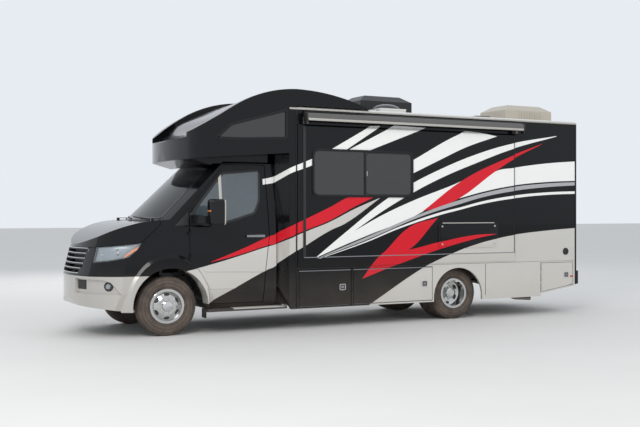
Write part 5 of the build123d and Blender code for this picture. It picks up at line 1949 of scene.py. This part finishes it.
@dataclass
class RoofKit:
    """Louvres, flange and ribs of both air conditioners, the smoked vent dome and small roof fittings."""

    roof: float = 3.036
    fins: int = 9
    ribs: int = 5

    def shroud(self, name: str, look: Look) -> list[Piece]:
        """Louvres on both sides of an air conditioner, the flange under it and the ribs along its top.

        Args:
            name: the air conditioner's node.
            look: the finish of its louvres.

        Returns:
            The pieces.
        """
        low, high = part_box(name)
        maker = Maker()
        for number in range(self.fins):
            x = low[0] + (high[0] - low[0]) * (0.30 + 0.45 * number / (self.fins - 1))
            for y, way in ((low[1], -1), (high[1], 1)):
                near, far = sorted((y - way * 0.004, y + way * 0.008))
                maker.box((x - 0.008, near, low[2] + 0.05), (x + 0.008, far, low[2] + 0.17), 0.003)
        base = ((low[0] - 0.015, low[1] - 0.015, low[2]), (high[0] + 0.015, high[1] + 0.015, low[2] + 0.022))
        maker.box(*base, 0.008)
        for number in range(self.ribs):
            y = low[1] + (high[1] - low[1]) * (0.26 + 0.12 * number)
            maker.box((low[0] + 0.17, y - 0.012, high[2] - 0.006),
                      (high[0] - 0.17, y + 0.012, high[2]), 0.002)
        return [maker.piece(f"{name}_louvres", look)]

    def build(self) -> list[Piece]:
        """Make the roof's pieces.

        Returns:
            The pieces.
        """
        made = self.shroud("front_air_conditioner", Look.PLASTIC)
        made += self.shroud("rear_air_conditioner", Look.BEIGE)
        low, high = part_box("vent_lid")
        middle = (Vector(low) + Vector(high)) / 2
        half = (Vector(high) - Vector(low)) * 0.48
        dome = Maker().dome((middle.x, middle.y, high[2] - 0.004), (half.x, half.y, 0.085))
        made.append(dome.piece("vent_dome", Look.SMOKED, "vent_lid"))
        fittings = Maker()
        cowl = [(0.0, 0.055), (0.012, 0.052), (0.055, 0.036), (0.070, 0.052), (0.082, 0.048), (0.088, 0.0005),
                (0.0, 0.0005)]
        for x, y in ((4.75, 0.62), (5.25, 0.35), (2.95, 0.70)):
            fittings.ring((station(x), y, self.roof), "Z", cowl, steps=24)
        made.append(fittings.piece("roof_vents", Look.SHELL))
        case = Maker().box((station(5.10), -0.45, self.roof), (station(5.40), -0.20, self.roof + 0.09), 0.03)
        case.box((station(5.08), -0.47, self.roof), (station(5.42), -0.18, self.roof + 0.012), 0.005)
        made.append(case.piece("aerial_case", Look.PLASTIC))
        return made


@dataclass
class Underside:
    """Leaf springs, dark panels behind the cab that stand partly for a closing panel and partly for painted
    shade, and the running boards' treads and bright edges.
    """

    leaves: int = 3
    treads: int = 5

    def build(self) -> list[Piece]:
        """Make the pieces under and beside the floor.

        Returns:
            The pieces.
        """
        springs = Maker()
        for number in range(self.leaves):
            half = 0.60 - 0.16 * number
            top = 0.4395 - number * 0.012
            springs.both((WHEELBASE - half, WHEELBASE + half), (0.398, 0.462), (top - 0.010, top), 0.002)
        treads = Maker()
        for row in range(self.treads):
            y = 0.90 + row * 0.04
            treads.both((0.84, 1.56), (y - 0.010, y + 0.010), (0.3285, 0.3335), 0.002)
        edge = Maker().both((0.84, 1.586), (1.083, 1.0945), (0.312, 0.334), 0.005)
        # Black panels between the cab's rear and the coach's front leg: partly a lower closing panel, partly
        # a dark sheet painting the shade in that gap.
        shade_panels = Maker().both((1.42, 1.73), (0.862, 0.874), (0.3295, 0.56), 0.004)
        return [springs.piece("leaf_springs", Look.FRAME), shade_panels.piece("closing_panels_painted_shade", Look.PLASTIC),
                treads.piece("board_treads", Look.ALUMINIUM), edge.piece("board_edges", Look.ALUMINIUM)]


# The scene


CAD_LOOKS: dict[str, "Look | Special"] = {
    "ladder_frame": Look.FRAME, "engine_block": Look.IRON, "rear_axle": Look.FRAME, "exhaust": Look.EXHAUST,
    "waste_tank": Look.PLASTIC, "cab_body": Special.CAB, "bonnet": Special.COACHWORK,
    "front_bumper": Look.SILVER, "headlamps": Look.LENS, "grille": Look.PLASTIC, "windscreen": Look.SCREEN,
    "dashboard": Look.PLASTIC, "cab_seats": Special.CLOTH, "door_left": Special.COACHWORK,
    "door_right": Special.COACHWORK, "door_glass_left": Look.GLASS, "door_glass_right": Look.GLASS,
    "mirror_left": Look.GLOSS_BLACK, "mirror_right": Look.GLOSS_BLACK, "running_boards": Look.PLASTIC,
    "coach_floor": Look.BOARD, "left_wall": Special.LINED, "right_wall": Special.LINED,
    "rear_wall": Special.COACHWORK, "roof": Look.SHELL, "front_cap": Special.COACHWORK,
    "skirts": Special.COACHWORK, "lockers": Look.ZINC, "coach_windows": Look.DARK_GLASS,
    "tail_lamps": Look.RED_LENS, "rear_bumper": Look.GLOSS_BLACK, "front_air_conditioner": Look.SHROUD,
    "rear_air_conditioner": Look.BEIGE, "vent_lid": Look.SHELL, "patio_awning": Look.GRAPHITE,
    "slide_room": Special.LINED, "slide_window": Look.DARK_GLASS, "slide_topper": Look.GRAPHITE,
    "entry_door": Special.LINED, "entry_door_window": Look.DARK_GLASS, "entry_step": Look.ALUMINIUM,
    "baggage_door_front": Special.COACHWORK, "baggage_door_middle": Special.COACHWORK,
    "baggage_door_rear": Special.COACHWORK, "baggage_door_right": Special.COACHWORK,
    "knuckle_left": Look.FRAME, "knuckle_right": Look.FRAME, "wheel_front_left": Look.POLISHED,
    "wheel_front_right": Look.POLISHED, "wheel_rear_left": Look.POLISHED, "wheel_rear_right": Look.POLISHED,
}


@dataclass
class Dressing:
    """Finishes for the frame's own pieces."""

    looks: dict[str, "Look | Special"] = field(default_factory=lambda: CAD_LOOKS)

    def build(self) -> None:
        """Give every shown node its material."""
        for name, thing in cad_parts.items():
            if name in self.looks:
                thing.data.materials.clear()
                thing.data.materials.append(PALETTE.get(self.looks[name]))


@dataclass(frozen=True)
class Lamp:
    """One soft light of the studio."""

    name: str
    place: Point3
    target: Point3
    size: Point
    power: float
    colour: Colour = (1.0, 1.0, 1.0)
    glossy: bool = True

    def build(self) -> None:
        """Hang the light."""
        data = bpy.data.lights.new(self.name, "AREA")
        data.shape = "RECTANGLE"
        data.size, data.size_y = self.size
        data.energy = self.power
        data.color = self.colour
        made = bpy.data.objects.new(self.name, data)
        made.location = self.place
        made.rotation_euler = (Vector(self.target) - Vector(self.place)).to_track_quat("-Z", "Y").to_euler()
        made.visible_glossy = self.glossy
        bpy.context.scene.collection.objects.link(made)


@dataclass
class Studio:
    """Floor, light and camera."""

    lens: float = 58.2
    shift: float = -0.1686
    place: Point3 = (-6.774, -14.092, 1.607)
    yaw: float = 30.98
    pitch: float = -0.12
    light: float = 0.85
    sky: Colour = (0.86, 0.90, 0.95)
    backdrop: Colour = (0.80, 0.84, 0.89)
    floor_half: float = 90.0
    sensor: float = 36.0
    reach: float = 300.0
    lamps: tuple[Lamp, ...] = (
        Lamp("key", (-9.0, -11.0, 9.5), (0.0, 0.0, 1.2), (7.0, 5.0), 950.0, (1.0, 0.97, 0.93)),
        Lamp("fill", (8.0, -12.0, 6.0), (0.5, 0.0, 1.2), (8.0, 4.0), 300.0, glossy=False),
        Lamp("back", (0.0, 12.0, 8.0), (0.0, 0.0, 1.5), (10.0, 4.0), 500.0, glossy=False),
    )

    def floor(self) -> None:
        """Lay the pale floor."""
        half = self.floor_half
        maker = Maker().box((-half, -half, -0.05), (half, half, 0.0), 0.0)
        graph = surface("pale_floor")
        tone = graph.mix(graph.noise(0.8, 3.0), (0.66, 0.655, 0.64), (0.71, 0.705, 0.69))
        data = bpy.data.meshes.new("floor")
        maker.mesh.to_mesh(data)
        maker.mesh.free()
        data.materials.append(graph.finish(Base_Color=tone, Roughness=0.8))
        made = bpy.data.objects.new("floor", data)
        bpy.context.scene.collection.objects.link(made)

    def world(self) -> None:
        """Light everything evenly, and show a pale background to the eye, to metal and to glass."""
        world = bpy.data.worlds.new("studio")
        graph = Graph(world)
        plain_light = graph.tree.nodes["Background"]
        graph.feed(plain_light.inputs["Color"], self.sky)
        graph.feed(plain_light.inputs["Strength"], self.light)
        shown = graph.term("Background", 0, {"Color": self.backdrop})
        camera, glossy, through = (graph.term("LightPath", f"Is {word} Ray")
                                   for word in ("Camera", "Glossy", "Transmission"))
        blend = graph.term("MixShader", 0, {0: camera | glossy | through,
                                            1: Term(graph, plain_light.outputs[0]), 2: shown})
        graph.feed(graph.tree.nodes["World Output"].inputs["Surface"], blend)
        bpy.context.scene.world = world

    def camera(self) -> None:
        """Stand the camera where the photograph was taken."""
        lens = bpy.data.cameras.new("camera")
        lens.lens = self.lens
        lens.sensor_width = self.sensor
        lens.shift_x = self.shift
        lens.clip_end = self.reach
        made = bpy.data.objects.new("camera", lens)
        made.location = self.place
        made.rotation_euler = (math.radians(90 + self.pitch), 0.0, math.radians(-self.yaw))
        bpy.context.scene.collection.objects.link(made)
        bpy.context.scene.camera = made
        bpy.context.scene.view_settings.view_transform = "Standard"

    def build(self) -> None:
        """Set up the floor, the light, the background and the camera."""
        self.floor()
        self.world()
        for lamp in self.lamps:
            lamp.build()
        self.camera()


def main() -> None:
    """Dress the frame, make every piece and set the stage."""
    logging.basicConfig(level=logging.INFO)
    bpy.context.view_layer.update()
    Dressing().build()
    for assembly in (Wheels(), CabDoors(), CabFront(), Seats(), CoachLeft(), CoachRight(), CoachRear(),
                     RoofKit(), Underside()):
        for piece in assembly.build():
            LOG.info("%s: %s, %d faces", type(assembly).__name__, piece.name, len(piece.data.polygons))
    Studio().build()


if __name__ == "__main__":
    main()
